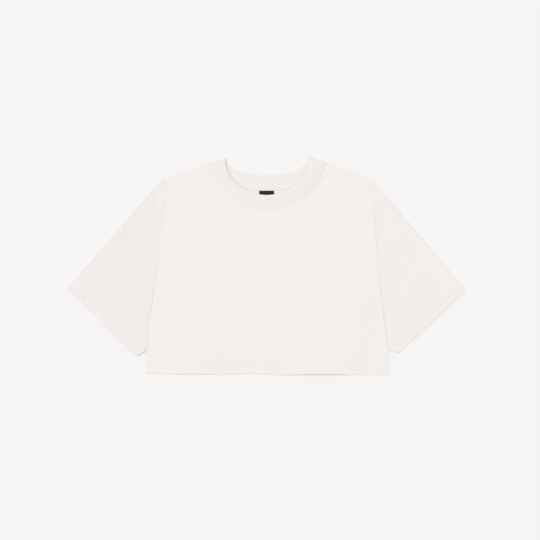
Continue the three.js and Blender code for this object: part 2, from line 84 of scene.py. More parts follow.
# Sleeve patch: where the crown ends along the upper fold, and where the cuff's lower corner lies
CROWN_SHARE = 0.05
CUFF_SHARE = 0.89
SLEEVE_EASE = 0.22
ARMHOLE_SHARE = 0.08
SLEEVE_WIDTH = 0.230
GAP_EASE = 0.25
LAP_START = 0.8
LAP_WIDTH = 0.14

# Neck
NECK_HALF = 0.081
FRONT_DROP = 0.0746
FRONT_FULLNESS = 1.1
BACK_DROP = 0.0354
BACK_FULLNESS = 0.92
BAND_WIDTH = 0.0305
BAND_SHOULDER_WIDTH = 0.038
BAND_FLARE = 6
RIB_COUNT = 190
RIB_RISE = 0.00028
FOLD_RADIUS = RIB_WALL / 2 + LAYER_GAP
FOLD_SET_BACK = FOLD_RADIUS + RIB_WALL / 2

# Distances from an edge at which a mesh has its first rows, to hold a round edge and a seam's roll
EDGE_ROWS = np.array([0, 0.00012, 0.0003, 0.0006, 0.0011, 0.0018, 0.0028, 0.0042])
# How close together the neckline's columns stand at the neck points, from 0 to 1
CLOSER_AT_ENDS = 0.6


def smooth(t):
    """An even S-shaped step from 0 to 1."""
    t = np.clip(t, 0.0, 1.0)
    return t * t * (3.0 - 2.0 * t)


def mix(a, b, t):
    return a + (b - a) * t


def point(x, y):
    return np.stack(np.broadcast_arrays(x, y), axis=-1)


def mix_points(a, b, t):
    return mix(a, b, np.asarray(t)[..., None])


def bell(t):
    return np.exp(-(t ** 2))


class Table:
    """A short table with named columns. The first is a place, and the others are read smoothly between rows."""

    def __init__(self, names, *rows):
        self.names = names.split()
        self.columns = dict(zip(self.names, np.array(rows, float).T))

    def __getitem__(self, column):
        return self.columns[column]

    def rows(self):
        """Each row as a dictionary."""
        return [dict(zip(self.names, row)) for row in np.array(list(self.columns.values())).T]

    def read(self, column, at):
        x, y = self[self.names[0]], self[column]
        before = np.maximum(np.arange(len(x)) - 1, 0)
        after = np.minimum(np.arange(len(x)) + 1, len(x) - 1)
        slope = (y[after] - y[before]) / (x[after] - x[before])
        i = np.clip(np.searchsorted(x, at) - 1, 0, len(x) - 2)
        span = x[i + 1] - x[i]
        t = np.clip((at - x[i]) / span, 0.0, 1.0)
        bend = span * t * (1 - t) * (slope[i] * (1 - t) - slope[i + 1] * t)
        return mix(y[i], y[i + 1], smooth(t)) + bend


# Half width of the body: the side seam up to the armpit, and the armhole seam above it
SIDES = Table(
    "height left right",
    (0, 0.242, 0.2435),
    (0.058, 0.2395, 0.241),
    (0.107, 0.236, 0.2345),
    (0.176, 0.223, 0.226),
    (0.240, 0.2165, 0.2196),
    (0.320, 0.206, 0.2145),
    (0.390, 0.2035, 0.211),
)

# Height of the two hem edges, and how far the front one is lifted off the back one
HEM_EDGES = Table(
    "across back front lift",
    (-0.242, 0.0034, 0.0034, 0),
    (-0.217, 0.0027, 0.0025, 0),
    (-0.185, 0.0006, 0.0016, 0.0003),
    (-0.150, 0.0006, 0.0026, 0.0014),
    (-0.122, 0.0008, 0.0016, 0.0002),
    (-0.095, 0.0014, 0.0012, 0),
    (-0.060, 0.0024, 0.0020, 0),
    (-0.030, 0.0030, 0.0026, 0),
    (0, 0.0021, 0.0017, 0),
    (0.030, -0.0006, -0.0002, 0.0001),
    (0.060, -0.0020, 0.0010, 0.0024),
    (0.090, -0.0022, 0.0020, 0.0046),
    (0.140, -0.0022, 0.0018, 0.0040),
    (0.165, -0.0006, 0.0006, 0.0004),
    (0.190, 0.0008, 0.0006, 0),
    (0.2435, 0.0004, 0.0004, 0),
)

# Height of the shoulder line, from the neck point outwards
SHOULDERS = Table(
    "across left right",
    (0.081, 0.4332, 0.4360),
    (0.117, 0.4226, 0.4248),
    (0.152, 0.4106, 0.4130),
    (0.185, 0.3994, 0.4006),
    (0.213, 0.3884, 0.3854),
)
NECK_SLOPE = (SHOULDERS["left"][0] - SHOULDERS["left"][1]) / (SHOULDERS["across"][1] - NECK_HALF)

# Sleeves as they lie, angles in degrees
SLEEVES = {
    "left": dict(side=-1, crown=0.0085, length=0.2854, fall=49.36, bow=0.0006, cuff=0.1943, cuff_fall=44.67,
                 cuff_bow=-0.001, cuff_end=0.0475, tuck_from=0.72, tuck=0.7, lap=0.0030, gape=0.0018,
                 seam_gap=-0.0002, side_gap=-0.0008),
    "right": dict(side=1, crown=0.0025, length=0.2840, fall=49.51, bow=0.0008, cuff=0.1833, cuff_fall=43.4,
                  cuff_bow=-0.0008, cuff_end=0.0470, tuck_from=0.62, tuck=0.14, lap=0.0015, gape=0.0004,
                  seam_gap=0.00005, side_gap=0.0001),
}

# How high a sleeve's upper layer stands across its width, from the upper fold to the underarm fold
SLEEVE_RISE = Table(
    "across left right",
    (0, 0, 0),
    (0.022, 0.0032, 0.0009),
    (0.14, 0.0008, 0.0026),
    (0.42, 0.0015, 0.0048),
    (0.70, 0.0017, 0.0038),
    (0.94, 0.0011, 0.0016),
    (1, 0, 0),
)

# How the upper layer stands off the lower one
BODY_PUFF = dict(rise=0.0032, left=0.090, right=0.054, hem_slope=0.064, hem_share=0.1)
BODY_EASE = dict(side=0.026, shoulder=0.024)
ARMHOLE_LIFT = dict(rise=0.0028, ease=0.060)
NECK_RING = dict(lift=0.0015, breadth=0.34, half_width=0.112, half_height=0.094, height=0.422)

# Soft folds: the crest's middle, the way it runs in degrees from +X, its length and breadth, and its rise
FOLD_COLUMNS = "x y turn length breadth rise"
FRONT_FOLDS = Table(
    FOLD_COLUMNS,
    (-0.046, 0.096, 86, 0.088, 0.018, 0.0009),
    (-0.004, 0.126, 93, 0.104, 0.017, 0.0010),
    (0.036, 0.104, 97, 0.112, 0.018, 0.0009),
    (0.092, 0.074, 90, 0.074, 0.022, 0.0007),
    (-0.112, 0.080, 82, 0.084, 0.022, 0.0009),
    (0.178, 0.104, 80, 0.096, 0.020, 0.0013),
    (-0.186, 0.128, 99, 0.110, 0.021, 0.0009),
    (-0.136, 0.372, 122, 0.048, 0.020, 0.0006),
    (0.128, 0.362, 55, 0.052, 0.020, 0.0009),
    (0, 0.256, 3, 0.120, 0.034, -0.0006),
)
SLEEVE_FOLDS = {
    "left": Table(
        FOLD_COLUMNS,
        (-0.238, 0.326, 82, 0.060, 0.015, 0.0006),
        (-0.362, 0.178, 96, 0.040, 0.017, 0.0010),
        (-0.296, 0.120, 46, 0.062, 0.024, 0.0008),
    ),
    "right": Table(
        FOLD_COLUMNS,
        (0.262, 0.286, 112, 0.088, 0.019, 0.0010),
        (0.318, 0.196, 142, 0.074, 0.025, 0.0010),
        (0.372, 0.184, 60, 0.034, 0.015, 0.0009),
    ),
}

# Creases left by wearing and folding, as the folds but finer, and each with a bend across its length
CREASE_COLUMNS = "x y turn length breadth rise bend"
FRONT_CREASES = Table(
    CREASE_COLUMNS,
    (-0.078, 0.120, 88, 0.034, 0.0060, 0.00090, 0.9),
    (-0.062, 0.062, 94, 0.026, 0.0052, -0.00063, -1.2),
    (-0.031, 0.150, 86, 0.040, 0.0058, -0.00090, 0.6),
    (-0.018, 0.084, 92, 0.030, 0.0050, 0.00068, -0.8),
    (0.008, 0.172, 95, 0.046, 0.0062, 0.00095, 0.4),
    (0.014, 0.060, 84, 0.022, 0.0048, -0.00057, 1.4),
    (0.021, 0.112, 93, 0.036, 0.0056, -0.00066, -0.5),
    (0.047, 0.140, 99, 0.038, 0.0060, 0.00085, 0.7),
    (0.058, 0.078, 91, 0.026, 0.0054, 0.00060, -1.0),
    (-0.128, 0.108, 80, 0.030, 0.0064, -0.00060, 1.1),
    (-0.146, 0.046, 86, 0.024, 0.0056, 0.00057, -0.7),
    (0.152, 0.262, 8, 0.013, 0.0046, -0.00110, 2.0),
    (0.082, 0.182, 168, 0.018, 0.0062, 0.00051, -1.6),
    (-0.090, 0.214, 14, 0.022, 0.0066, 0.00051, 1.2),
    (-0.204, 0.076, 97, 0.040, 0.0070, -0.00075, 0.5),
    (0.206, 0.058, 84, 0.036, 0.0068, -0.00078, -0.6),
    (-0.104, 0.388, 118, 0.022, 0.0056, -0.00063, 1.3),
    (0.110, 0.388, 56, 0.026, 0.0066, -0.00130, -1.2),
    (0.168, 0.366, 40, 0.024, 0.0060, 0.00054, 1.8),
    (-0.176, 0.350, 132, 0.026, 0.0062, 0.00054, -1.1),
)
BACK_CREASES = Table(
    CREASE_COLUMNS,
    (-0.120, 0.300, 64, 0.060, 0.0090, 0.00034, 0.5),
    (-0.050, 0.190, 96, 0.070, 0.0080, 0.00030, -0.4),
    (0.040, 0.120, 84, 0.052, 0.0076, 0.00034, 0.7),
    (0.096, 0.250, 118, 0.064, 0.0088, 0.00036, -0.5),
    (0.150, 0.090, 92, 0.046, 0.0072, 0.00030, 0.8),
    (-0.160, 0.110, 86, 0.050, 0.0078, 0.00032, -0.6),
    (0, 0.350, 4, 0.074, 0.0100, 0.00028, 0.3),
)
SLEEVE_CREASES = {
    "left": Table(
        CREASE_COLUMNS,
        (-0.2237, 0.340, 86, 0.018, 0.0021, -0.0020, 0.6),
        (-0.2350, 0.338, 80, 0.022, 0.0060, 0.00080, 0.9),
        (-0.252, 0.292, 70, 0.036, 0.0060, -0.00030, 1.0),
        (-0.268, 0.236, 58, 0.042, 0.0066, 0.00030, -0.7),
        (-0.318, 0.206, 124, 0.026, 0.0058, -0.00044, -1.4),
        (-0.3595, 0.1705, 84, 0.0046, 0.0040, -0.00160, 2.0),
        (-0.3585, 0.1585, 96, 0.0044, 0.0040, -0.00130, 1.0),
        (-0.3640, 0.1490, 62, 0.0052, 0.0038, -0.00200, 1.6),
        (-0.3665, 0.1910, 102, 0.0080, 0.0056, -0.00120, 1.0),
        (-0.352, 0.166, 90, 0.020, 0.0110, -0.00060, 0),
        (-0.372, 0.172, 94, 0.022, 0.0090, 0.00110, 0),
        (-0.293, 0.116, 60, 0.012, 0.0050, -0.00080, 0.8),
        (-0.342, 0.186, 96, 0.018, 0.0048, -0.00046, 0.9),
        (-0.300, 0.100, 40, 0.030, 0.0060, 0.00040, 1.1),
        (-0.262, 0.128, 92, 0.034, 0.0062, -0.00042, -0.8),
    ),
    "right": Table(
        CREASE_COLUMNS,
        (0.236, 0.316, 100, 0.034, 0.0058, -0.00044, -0.8),
        (0.252, 0.262, 108, 0.042, 0.0062, 0.00042, 0.9),
        (0.300, 0.238, 126, 0.030, 0.0060, -0.00040, -0.9),
        (0.332, 0.214, 150, 0.024, 0.0058, 0.00040, 1.5),
        (0.356, 0.190, 72, 0.016, 0.0046, -0.00056, -1.2),
        (0.306, 0.150, 36, 0.040, 0.0068, -0.00048, 1.0),
        (0.276, 0.104, 50, 0.034, 0.0062, 0.00044, -0.7),
        (0.338, 0.134, 142, 0.028, 0.0060, 0.00036, 1.2),
        (0.262, 0.172, 86, 0.034, 0.0058, -0.00038, 0.6),
    ),
}

# Seams pull the cloth in: how far its face goes down on each side of a seam, and how wide that roll is. edge tells
# how round the front's edge is there, as a share of a free edge.
SEAM_ROLLS = {
    "left": dict(body=0.00040, sleeve=0.00080, width=0.0036, edge=0.35),
    "right": dict(body=0.00010, sleeve=0.00085, width=0.0026, edge=1.0),
    "neck": dict(body=0.00004, width=0.0060),
}
# Hems and shoulders are pressed, so their edges are less round than a wall's could be.
PRESSED_EDGE = 0.4
# Height, length and reach of the small puckers that stand square to a seam
PUCKER = dict(rise=0.00010, length=0.0083, reach=0.0075)

# Twin rows of stitching above each turned hem: their distances from its edge, and the groove that they press
STITCH_ROWS = (0.0135, 0.0190)
STITCH_PITCH = 0.0032
STITCH_LENGTH = 0.0027
STITCH_GROOVE = dict(depth=0.00004, width=0.0009)
THREAD_RADIUS = 0.00020


def half_width(x, height):
    """Half width of the body at a height, on the side that x lies on."""
    return np.where(x < 0, SIDES.read("left", height), SIDES.read("right", height))


def shoulder_at(x):
    across = np.abs(x)
    return np.where(x < 0, SHOULDERS.read("left", across), SHOULDERS.read("right", across))


def shoulder_point(key):
    """Where the armhole seam meets the shoulder line."""
    side = SLEEVES[key]["side"]
    x = side * SIDES[key][-1]
    return np.array([x, float(shoulder_at(x))])


def armhole_lift(key, height):
    """How far the upper layer stands off the lower one along an armhole seam."""
    rise, ease = ARMHOLE_LIFT["rise"], ARMHOLE_LIFT["ease"]
    return rise * smooth((height - ARMPIT_HEIGHT) / ease) * smooth((shoulder_point(key)[1] - height) / ease)


def fold_height(folds, x, y):
    """Height of a table of folds or creases at places in plan."""
    total = np.zeros(np.shape(x))
    for fold in folds.rows():
        turn = math.radians(fold["turn"])
        along = (x - fold["x"]) * math.cos(turn) + (y - fold["y"]) * math.sin(turn)
        across = (y - fold["y"]) * math.cos(turn) - (x - fold["x"]) * math.sin(turn)
        across = across - fold.get("bend", 0.0) * along ** 2
        total += fold["rise"] * bell(along / fold["length"]) * bell(across / fold["breadth"])
    return total


def patch_between(bottom, top, left, right):
    """A patch between four edges. Bottom and top run from left to right, and left and right from bottom to top."""
    low_left, low_right = bottom(np.array(0.0)), bottom(np.array(1.0))
    high_left, high_right = top(np.array(0.0)), top(np.array(1.0))

    def place(u, v):
        u, v = np.broadcast_arrays(u, v)
        ruled = mix_points(bottom(u), top(u), v) + mix_points(left(v), right(v), u)
        flat = mix_points(mix_points(low_left, low_right, u), mix_points(high_left, high_right, u), v)
        return ruled - flat

    return place


def distance_to(line, places, block=4000):
    """Distance from places to a line of points, and how far along the line the nearest point lies."""
    start, run = line[:-1], np.diff(line, axis=0)
    length = np.hypot(run[:, 0], run[:, 1])
    before = np.r_[0, np.cumsum(length)[:-1]]
    flat = places.reshape(-1, 2)
    distance, along = np.empty(len(flat)), np.empty(len(flat))
    for first in range(0, len(flat), block):
        part = slice(first, first + block)
        gap = flat[part, None] - start
        t = np.clip((gap * run).sum(-1) / length ** 2, 0, 1)
        away = np.linalg.norm(gap - t[..., None] * run, axis=-1)
        nearest = away.argmin(1)
        row = np.arange(len(nearest))
        distance[part] = away[row, nearest]
        along[part] = before[nearest] + t[row, nearest] * length[nearest]
    return distance.reshape(places.shape[:-1]), along.reshape(places.shape[:-1])


def hem_share(from_edge):
    """1 on the turned hem and 0 above it."""
    return 1 - smooth((from_edge - HEM_DEPTH) / HEM_STEP)


def seam_roll(key, part, distance):
    """How far the cloth's face goes down beside a seam."""
    roll = SEAM_ROLLS[key]
    return roll[part] * (1 - smooth(distance / roll["width"]))


def pucker(distance, along):
    """Small ripples square to a seam, which die out away from it."""
    wave = np.sin(2 * math.pi * along / PUCKER["length"]) + 0.6 * np.sin(2 * math.pi * along / (PUCKER["length"] * 1.73))
    return PUCKER["rise"] * wave * np.exp(-distance / PUCKER["reach"])


def stitch_groove(from_edge):
    return sum(STITCH_GROOVE["depth"] * bell((from_edge - row) / STITCH_GROOVE["width"]) for row in STITCH_ROWS)


def unevenness(x, y):
    """Broad, very shallow waves that cloth keeps even after pressing."""
    return (
        0.5 * np.sin(37 * x + 11 * y + 0.4) * np.sin(29 * y - 7 * x + 1.1)
        + 0.3 * np.sin(61 * x - 23 * y + 2.3) * np.sin(53 * y + 17 * x)
        + 0.2 * np.sin(97 * x + 41 * y + 4.0) * np.sin(89 * y - 31 * x + 0.7)
    )


UNEVEN_RISE = 0.00035


# Neckline and neckband


class Arc:
    """The opening edge of the band on one layer, from the left neck point (t 0) to the right one (t 1)."""

    def __init__(self, drop, fullness):
        self.drop = drop
        self.fullness = fullness

    def edge(self, t):
        angle = np.pi * t
        depth = (self.drop - FOLD_SET_BACK) * np.maximum(np.sin(angle), 0) ** self.fullness
        height = mix(SHOULDERS["left"][0], SHOULDERS["right"][0], t)
        return point(-NECK_HALF * np.cos(angle), height - FOLD_SET_BACK - depth)

    def across(self, t):
        """The way the band runs off its opening edge, and its width there."""
        step = 1e-4
        run = self.edge(np.minimum(t + step, 1)) - self.edge(np.maximum(t - step, 0))
        square = point(run[..., 1], -run[..., 0])
        square = square / np.linalg.norm(square, axis=-1, keepdims=True)
        shoulder = point(np.where(t < 0.5, -1.0, 1.0), -NECK_SLOPE) / math.hypot(1, NECK_SLOPE)
        share = np.abs(np.cos(np.pi * t)) ** BAND_FLARE
        direction = mix_points(square, shoulder, share)
        direction = direction / np.linalg.norm(direction, axis=-1, keepdims=True)
        return direction, mix(BAND_WIDTH, BAND_SHOULDER_WIDTH, share)

    def point(self, t, share, past=0.0):
        """A place on the band: share 0 is its opening edge, and 1 its seam."""
        direction, width = self.across(t)
        return self.edge(t) + direction * (width * share + past)[..., None]


FRONT_ARC = Arc(FRONT_DROP, FRONT_FULLNESS)
BACK_ARC = Arc(BACK_DROP, BACK_FULLNESS)
PANEL_SHOULDER = BAND_SHOULDER_WIDTH + NECKLINE_GAP + FOLD_SET_BACK * NECK_SLOPE
PANEL_NECK_HALF = NECK_HALF + PANEL_SHOULDER / math.hypot(1, NECK_SLOPE)


def upper_edge(arc, u):
    """A panel's upper edge: up one shoulder, round the neckline and down the other shoulder."""
    u = np.asarray(u, float)
    side = np.where(u < 0.5, -1.0, 1.0)
    from_end = np.minimum(u, 1 - u)
    start = np.where(u < 0.5, SIDES["left"][-1], SIDES["right"][-1])
    x = side * mix(start, PANEL_NECK_HALF, np.clip(from_end / SHOULDER_SHARE, 0, 1))
    shoulder = point(x, shoulder_at(x))
    t = np.clip((u - SHOULDER_SHARE) / (1 - 2 * SHOULDER_SHARE), 0, 1)
    neckline = arc.point(t, np.ones_like(t), NECKLINE_GAP)
    return np.where((from_end <= SHOULDER_SHARE + 1e-9)[..., None], shoulder, neckline)


def body_patch(arc, layer):
    def side_edge(key):
        side = SLEEVES[key]["side"]
        start = HEM_EDGES.read(layer, side * SIDES[key][0])
        end = shoulder_point(key)[1]

        def edge(v):
            height = mix(start, end, v)
            return point(side * SIDES.read(key, height), height)

        return edge

    def hem(u):
        x = mix(-SIDES["left"][0], SIDES["right"][0], u)
        return point(x, HEM_EDGES.read(layer, x))

    return patch_between(hem, lambda u: upper_edge(arc, u), side_edge("left"), side_edge("right"))


def panel_columns(step):
    """Shares across a panel, closer together at its edges and at the ends of the neckline."""
    across = SIDES["left"][0] + SIDES["right"][0]
    edge = EDGE_ROWS / across
    count = int(SHOULDER_SHARE * across / step)
    shoulder = np.linspace(edge[-1], SHOULDER_SHARE, count)[1:]
    even = np.linspace(0, 1, int(0.34 / step) + 1)[1:-1]
    even = np.r_[0.004, even, 0.996]
    neckline = mix(SHOULDER_SHARE, 1 - SHOULDER_SHARE, mix(even, smooth(even), CLOSER_AT_ENDS))
    half = np.r_[edge, shoulder]
    return np.r_[half, neckline, (1 - half)[::-1]]


def panel_grid(patch, step):
    """Places of a panel's mesh in plan, with each one's distance from the hem's edge."""
    u = panel_columns(step)[:, None]
    length = patch(u, np.array(1.0))[..., 1] - patch(u, np.array(0.0))[..., 1]
    marks = [row + d for row in STITCH_ROWS for d in (-0.0012, -0.0006, 0, 0.0006, 0.0012)]
    low = np.unique(np.r_[EDGE_ROWS, 0.007, 0.010, marks, HEM_DEPTH + 0.0005, HEM_DEPTH + HEM_STEP / 2,
                          HEM_DEPTH + HEM_STEP])
    high = EDGE_ROWS[::-1]
    share = np.linspace(0, 1, int(0.40 / step) + 1)[1:-1]
    middle = mix(low[-1] / length, 1 - high[0] / length, share)
    v = np.hstack([low / length, middle, 1 - high / length])
    place = patch(np.broadcast_to(u, v.shape), v)
    from_hem = place[..., 1] - place[:, :1, 1]
    return place, from_hem


def armhole_line(key):
    """The armhole and side seam of one side, as a line of points."""
    height = np.linspace(0, shoulder_point(key)[1], 300)
    return point(SLEEVES[key]["side"] * SIDES.read(key, height), height)


def seam_lines(arc):
    """The three seams of a body panel as lines of points: both armholes with the side seams, and the neckline."""
    u = np.linspace(SHOULDER_SHARE, 1 - SHOULDER_SHARE, 500)
    return ("left", armhole_line("left")), ("right", armhole_line("right")), ("neck", upper_edge(arc, u))


def rounded(outer, inner, from_edge, radius):
    """Brings the two faces of a wall together towards a free edge, so that the edge is round."""
    depth = np.clip(from_edge / radius, 0, 1)
    share = 0.46 * (1 - np.sqrt(1 - (1 - depth) ** 2))
    return mix_points(outer, inner, share), mix_points(inner, outer, share)


def front_lift(x, y):
    """How far the front stands off the back."""
    from_side = half_width(x, y) - np.abs(x)
    from_shoulder = (shoulder_at(x) - y) / math.hypot(1, NECK_SLOPE)
    puff = BODY_PUFF["rise"] * mix(BODY_PUFF["hem_share"], 1, smooth(y / BODY_PUFF["hem_slope"]))
    off_ring = np.hypot(x / NECK_RING["half_width"], (y - NECK_RING["height"]) / NECK_RING["half_height"]) - 1
    inner = mix(puff, NECK_RING["lift"], bell(off_ring / NECK_RING["breadth"]))
    seam = np.where(x < 0, armhole_lift("left", y), armhole_lift("right", y))
    slope = np.where(x < 0, BODY_PUFF["left"], BODY_PUFF["right"])
    base = mix(seam, inner, smooth(from_side / slope))
    hem_lift = HEM_EDGES.read("lift", x) * (1 - smooth(y / HEM_LIFT_REACH))
    fine = fold_height(FRONT_CREASES, x, y) + UNEVEN_RISE * unevenness(x, y)
    local = smooth(from_side / BODY_EASE["side"]) * (fold_height(FRONT_FOLDS, x, y) + hem_lift + fine)
    lift = smooth(from_shoulder / BODY_EASE["shoulder"]) * (base + local)
    return 0.5 * (lift + np.sqrt(lift ** 2 + 0.0002 ** 2))


def front_faces(step):
    place, from_hem = panel_grid(body_patch(FRONT_ARC, "front"), step)
    x, y = place[..., 0], place[..., 1]
    above_back_hem = y - HEM_EDGES.read("back", x) - FRONT_HEM_EASE
    under = FRONT_LEVEL + HEM_EXTRA * hem_share(above_back_hem) + front_lift(x, y)
    over = under + JERSEY_WALL + HEM_EXTRA * hem_share(from_hem) - stitch_groove(from_hem)
    edges = [from_hem / PRESSED_EDGE, (shoulder_at(x) - y) / math.hypot(1, NECK_SLOPE) / PRESSED_EDGE]
    for key, line in seam_lines(FRONT_ARC):
        distance, along = distance_to(line, place)
        over += pucker(distance, along) - seam_roll(key, "body", distance)
        if "edge" in SEAM_ROLLS[key]:
            edges.append(distance / SEAM_ROLLS[key]["edge"])
    from_edge = np.maximum(np.minimum.reduce(edges), 0)
    outer, inner = np.dstack([place, over]), np.dstack([place, under])
    return *rounded(outer, inner, from_edge, JERSEY_WALL / 2), place


def back_faces(step):
    place, from_hem = panel_grid(body_patch(BACK_ARC, "back"), step)
    x, y = place[..., 0], place[..., 1]
    inside = smooth((half_width(x, y) - np.abs(x)) / BODY_PUFF["right"]) * smooth((y - 0.02) / 0.03)
    hollow = inside * fold_height(BACK_CREASES, x, y)
    groove = stitch_groove(from_hem)
    under = hollow + 1.6 * groove
    over = JERSEY_WALL + HEM_EXTRA * hem_share(from_hem) + hollow
    edges = [from_hem / PRESSED_EDGE, (shoulder_at(x) - y) / math.hypot(1, NECK_SLOPE) / PRESSED_EDGE]
    for key, line in seam_lines(BACK_ARC):
        distance, along = distance_to(line, place)
        under += seam_roll(key, "body", distance)
        edges.append(distance)
    from_edge = np.maximum(np.minimum.reduce(edges), 0)
    outer, inner = np.dstack([place, under]), np.dstack([place, over])
    return *rounded(outer, inner, from_edge, JERSEY_WALL / 2), place


# Sleeves


class SleevePatch:
    """A sleeve as it lies. u runs from the armhole to the cuff, and q from the upper fold to the underarm."""

    def __init__(self, key):
        self.key = key
        self.row = row = SLEEVES[key]
        side = row["side"]
        start = shoulder_point(key)
        crown_x = start[0] + side * row["crown"]
        crown = np.array([crown_x, float(shoulder_at(crown_x))])
        fall, cuff_fall = math.radians(row["fall"]), math.radians(row["cuff_fall"])
        tip = crown + row["length"] * np.array([side * math.cos(fall), -math.sin(fall)])
        corner = tip + row["cuff"] * np.array([-side * math.cos(cuff_fall), -math.sin(cuff_fall)])
        self.cuff_normal = np.array([side * math.sin(cuff_fall), -math.cos(cuff_fall)])

        def beside_body(height, gap):
            return point(side * (SIDES.read(key, height) + gap), height)

        def bowed(a, b, t, bow):
            out = bow * np.sin(np.pi * np.clip(t, 0, 1)) / np.linalg.norm(b - a)
            normal = side * np.array([-(b - a)[1], (b - a)[0]])
            return mix_points(a, b, t) + out[..., None] * normal

        def upper_fold(u):
            first = mix_points(start + np.array([side * row["seam_gap"], 0]), crown, u / CROWN_SHARE)
            rest = bowed(crown, tip, (u - CROWN_SHARE) / (1 - CROWN_SHARE), row["bow"])
            return np.where((u < CROWN_SHARE)[..., None], first, rest)

        def cuff(q):
            first = bowed(tip, corner, q / CUFF_SHARE, row["cuff_bow"])
            end = beside_body(np.array(row["cuff_end"]), row["side_gap"])
            rest = mix_points(corner, end, (q - CUFF_SHARE) / (1 - CUFF_SHARE))
            return np.where((q < CUFF_SHARE)[..., None], first, rest)

        self.place = patch_between(
            upper_fold,
            lambda u: beside_body(mix(ARMPIT_HEIGHT, row["cuff_end"], u),
                                  mix(row["seam_gap"], row["side_gap"], smooth(u / GAP_EASE))),
            lambda q: beside_body(mix(start[1], ARMPIT_HEIGHT, q), row["seam_gap"]),
            cuff,
        )
        near, last = 0.9, 1.0
        self.reach = lambda q: ((self.place(np.array(last), q) - self.place(np.array(near), q)) @ self.cuff_normal) / (
            last - near)

    def lap(self, q):
        return smooth((q - LAP_START) / LAP_WIDTH)

    def spot(self, share, from_cuff, q, level):
        """The place that lies a share of the way down the sleeve, or so far from the cuff's edge."""
        u = share * (1 - (from_cuff + self.row["lap"] * self.lap(q) * level) / self.reach(q))
        return u, self.place(u, q)

    def lift(self, u, q, place):
        """How far the upper layer stands off the lower one."""
        row = self.row
        x, y = place[..., 0], place[..., 1]
        edges = smooth(q / SLEEVE_EASE) * smooth((1 - q) / SLEEVE_EASE)
        end = smooth((1 - q) / (1 - LAP_START - LAP_WIDTH))
        gape = self.lap(q) * end * smooth((u - 1) / SLEEVE_EASE + 1)
        fine_edges = smooth(q / 0.03) * smooth((1 - q) / 0.08) * smooth(u / 0.03)
        fine = fold_height(SLEEVE_CREASES[self.key], x, y) + UNEVEN_RISE * unevenness(y, x)
        folds = edges * fold_height(SLEEVE_FOLDS[self.key], x, y)
        tuck = mix(1, row["tuck"], smooth((u - row["tuck_from"]) / (1 - row["tuck_from"])))
        seam = armhole_lift(self.key, y) * smooth(q / ARMHOLE_SHARE) * smooth((1 - q) / ARMHOLE_SHARE)
        own = tuck * (SLEEVE_RISE.read(self.key, q) + folds)
        lift = mix(seam, own, smooth(u / SLEEVE_EASE)) + row["gape"] * gape + fine_edges * fine
        return 0.5 * (lift + np.sqrt(lift ** 2 + 0.0001 ** 2))


def sleeve_ring(step):
    """Places round the flattened tube: shares q of the outer and the inner face, and the level of each place."""
    radius, inner_radius = JERSEY_WALL + LAYER_GAP / 2, LAYER_GAP / 2
    angle = np.radians([60, 30, 0, -30, -60])
    fold_outer = radius * (1 - np.cos(angle)) / SLEEVE_WIDTH
    fold_inner = (radius - inner_radius * np.cos(angle)) / SLEEVE_WIDTH
    fold_level = 0.5 + 0.5 * np.sin(angle)
    first = radius / SLEEVE_WIDTH
    near = first + np.array([0, 0.0010, 0.0022, 0.0038]) / SLEEVE_WIDTH
    count = int(SLEEVE_WIDTH / step)
    between = np.linspace(near[-1], 1 - near[-1], count)[1:-1]
    layer = np.unique(np.r_[near, between, CUFF_SHARE, 1 - near])
    outer = np.r_[layer, 1 - fold_outer, layer[::-1], fold_outer[::-1]]
    inner = np.r_[layer, 1 - fold_inner, layer[::-1], fold_inner[::-1]]
    level = np.r_[np.ones(len(layer)), fold_level, np.zeros(len(layer)), fold_level[::-1]]
    return outer, inner, level


def sleeve_stations(length, step):
    """Stations down a sleeve: a share of the way to the top of its hem, and then distances from the cuff's edge."""
    top = HEM_DEPTH + HEM_STEP
    marks = [row + d for row in STITCH_ROWS for d in (-0.0012, -0.0006, 0, 0.0006, 0.0012)]
    down = np.r_[EDGE_ROWS / length, np.linspace(EDGE_ROWS[-1] / length, 1, int(length / step))[1:]]
    from_cuff = np.unique(np.r_[EDGE_ROWS, 0.007, 0.010, marks, HEM_DEPTH + HEM_STEP / 2])[::-1]
    share = np.r_[down, np.ones(len(from_cuff))]
    return share, np.r_[np.full(len(down), top), from_cuff]


def sleeve_faces(key, step):
    patch = SleevePatch(key)
    share, from_cuff = sleeve_stations(patch.row["length"], step)
    ring_outer, ring_inner, level = (part[:, None] for part in sleeve_ring(step))
    on_hem = np.where(share < 1, 0, hem_share(from_cuff))
    groove = np.where(share < 1, 0, stitch_groove(from_cuff))
    line = armhole_line(key)
    faces = []
    for q, is_outer in ((ring_outer, True), (ring_inner, False)):
        u, place = patch.spot(share, from_cuff, q, level)
        distance, along = distance_to(line, place)
        wall = JERSEY_WALL + HEM_EXTRA * on_hem
        rise = patch.lift(u, q, place)
        if is_outer:
            height = (2 * wall + LAYER_GAP + rise) * level
            sewn = smooth((place[..., 1] - ARMPIT_HEIGHT) / 0.012 + 0.5)
            pull = sewn * (seam_roll(key, "sleeve", distance) - pucker(distance, along))
            height += np.where(level > 0.5, -groove - pull, 0)
            height += np.where(level < 0.5, 1.6 * groove + sewn * seam_roll(key, "body", distance), 0)
        else:
            height = wall + (LAYER_GAP + rise) * level
        faces.append(np.dstack([place, height]))
    from_edge = np.where(share < 1, share * patch.row["length"], from_cuff / PRESSED_EDGE)
    flat = point(np.where(level > 0.5, ring_outer, -ring_outer) * SLEEVE_WIDTH, u * patch.row["length"])
    return *rounded(faces[0], faces[1], from_edge, JERSEY_WALL / 2), flat


# Neckband


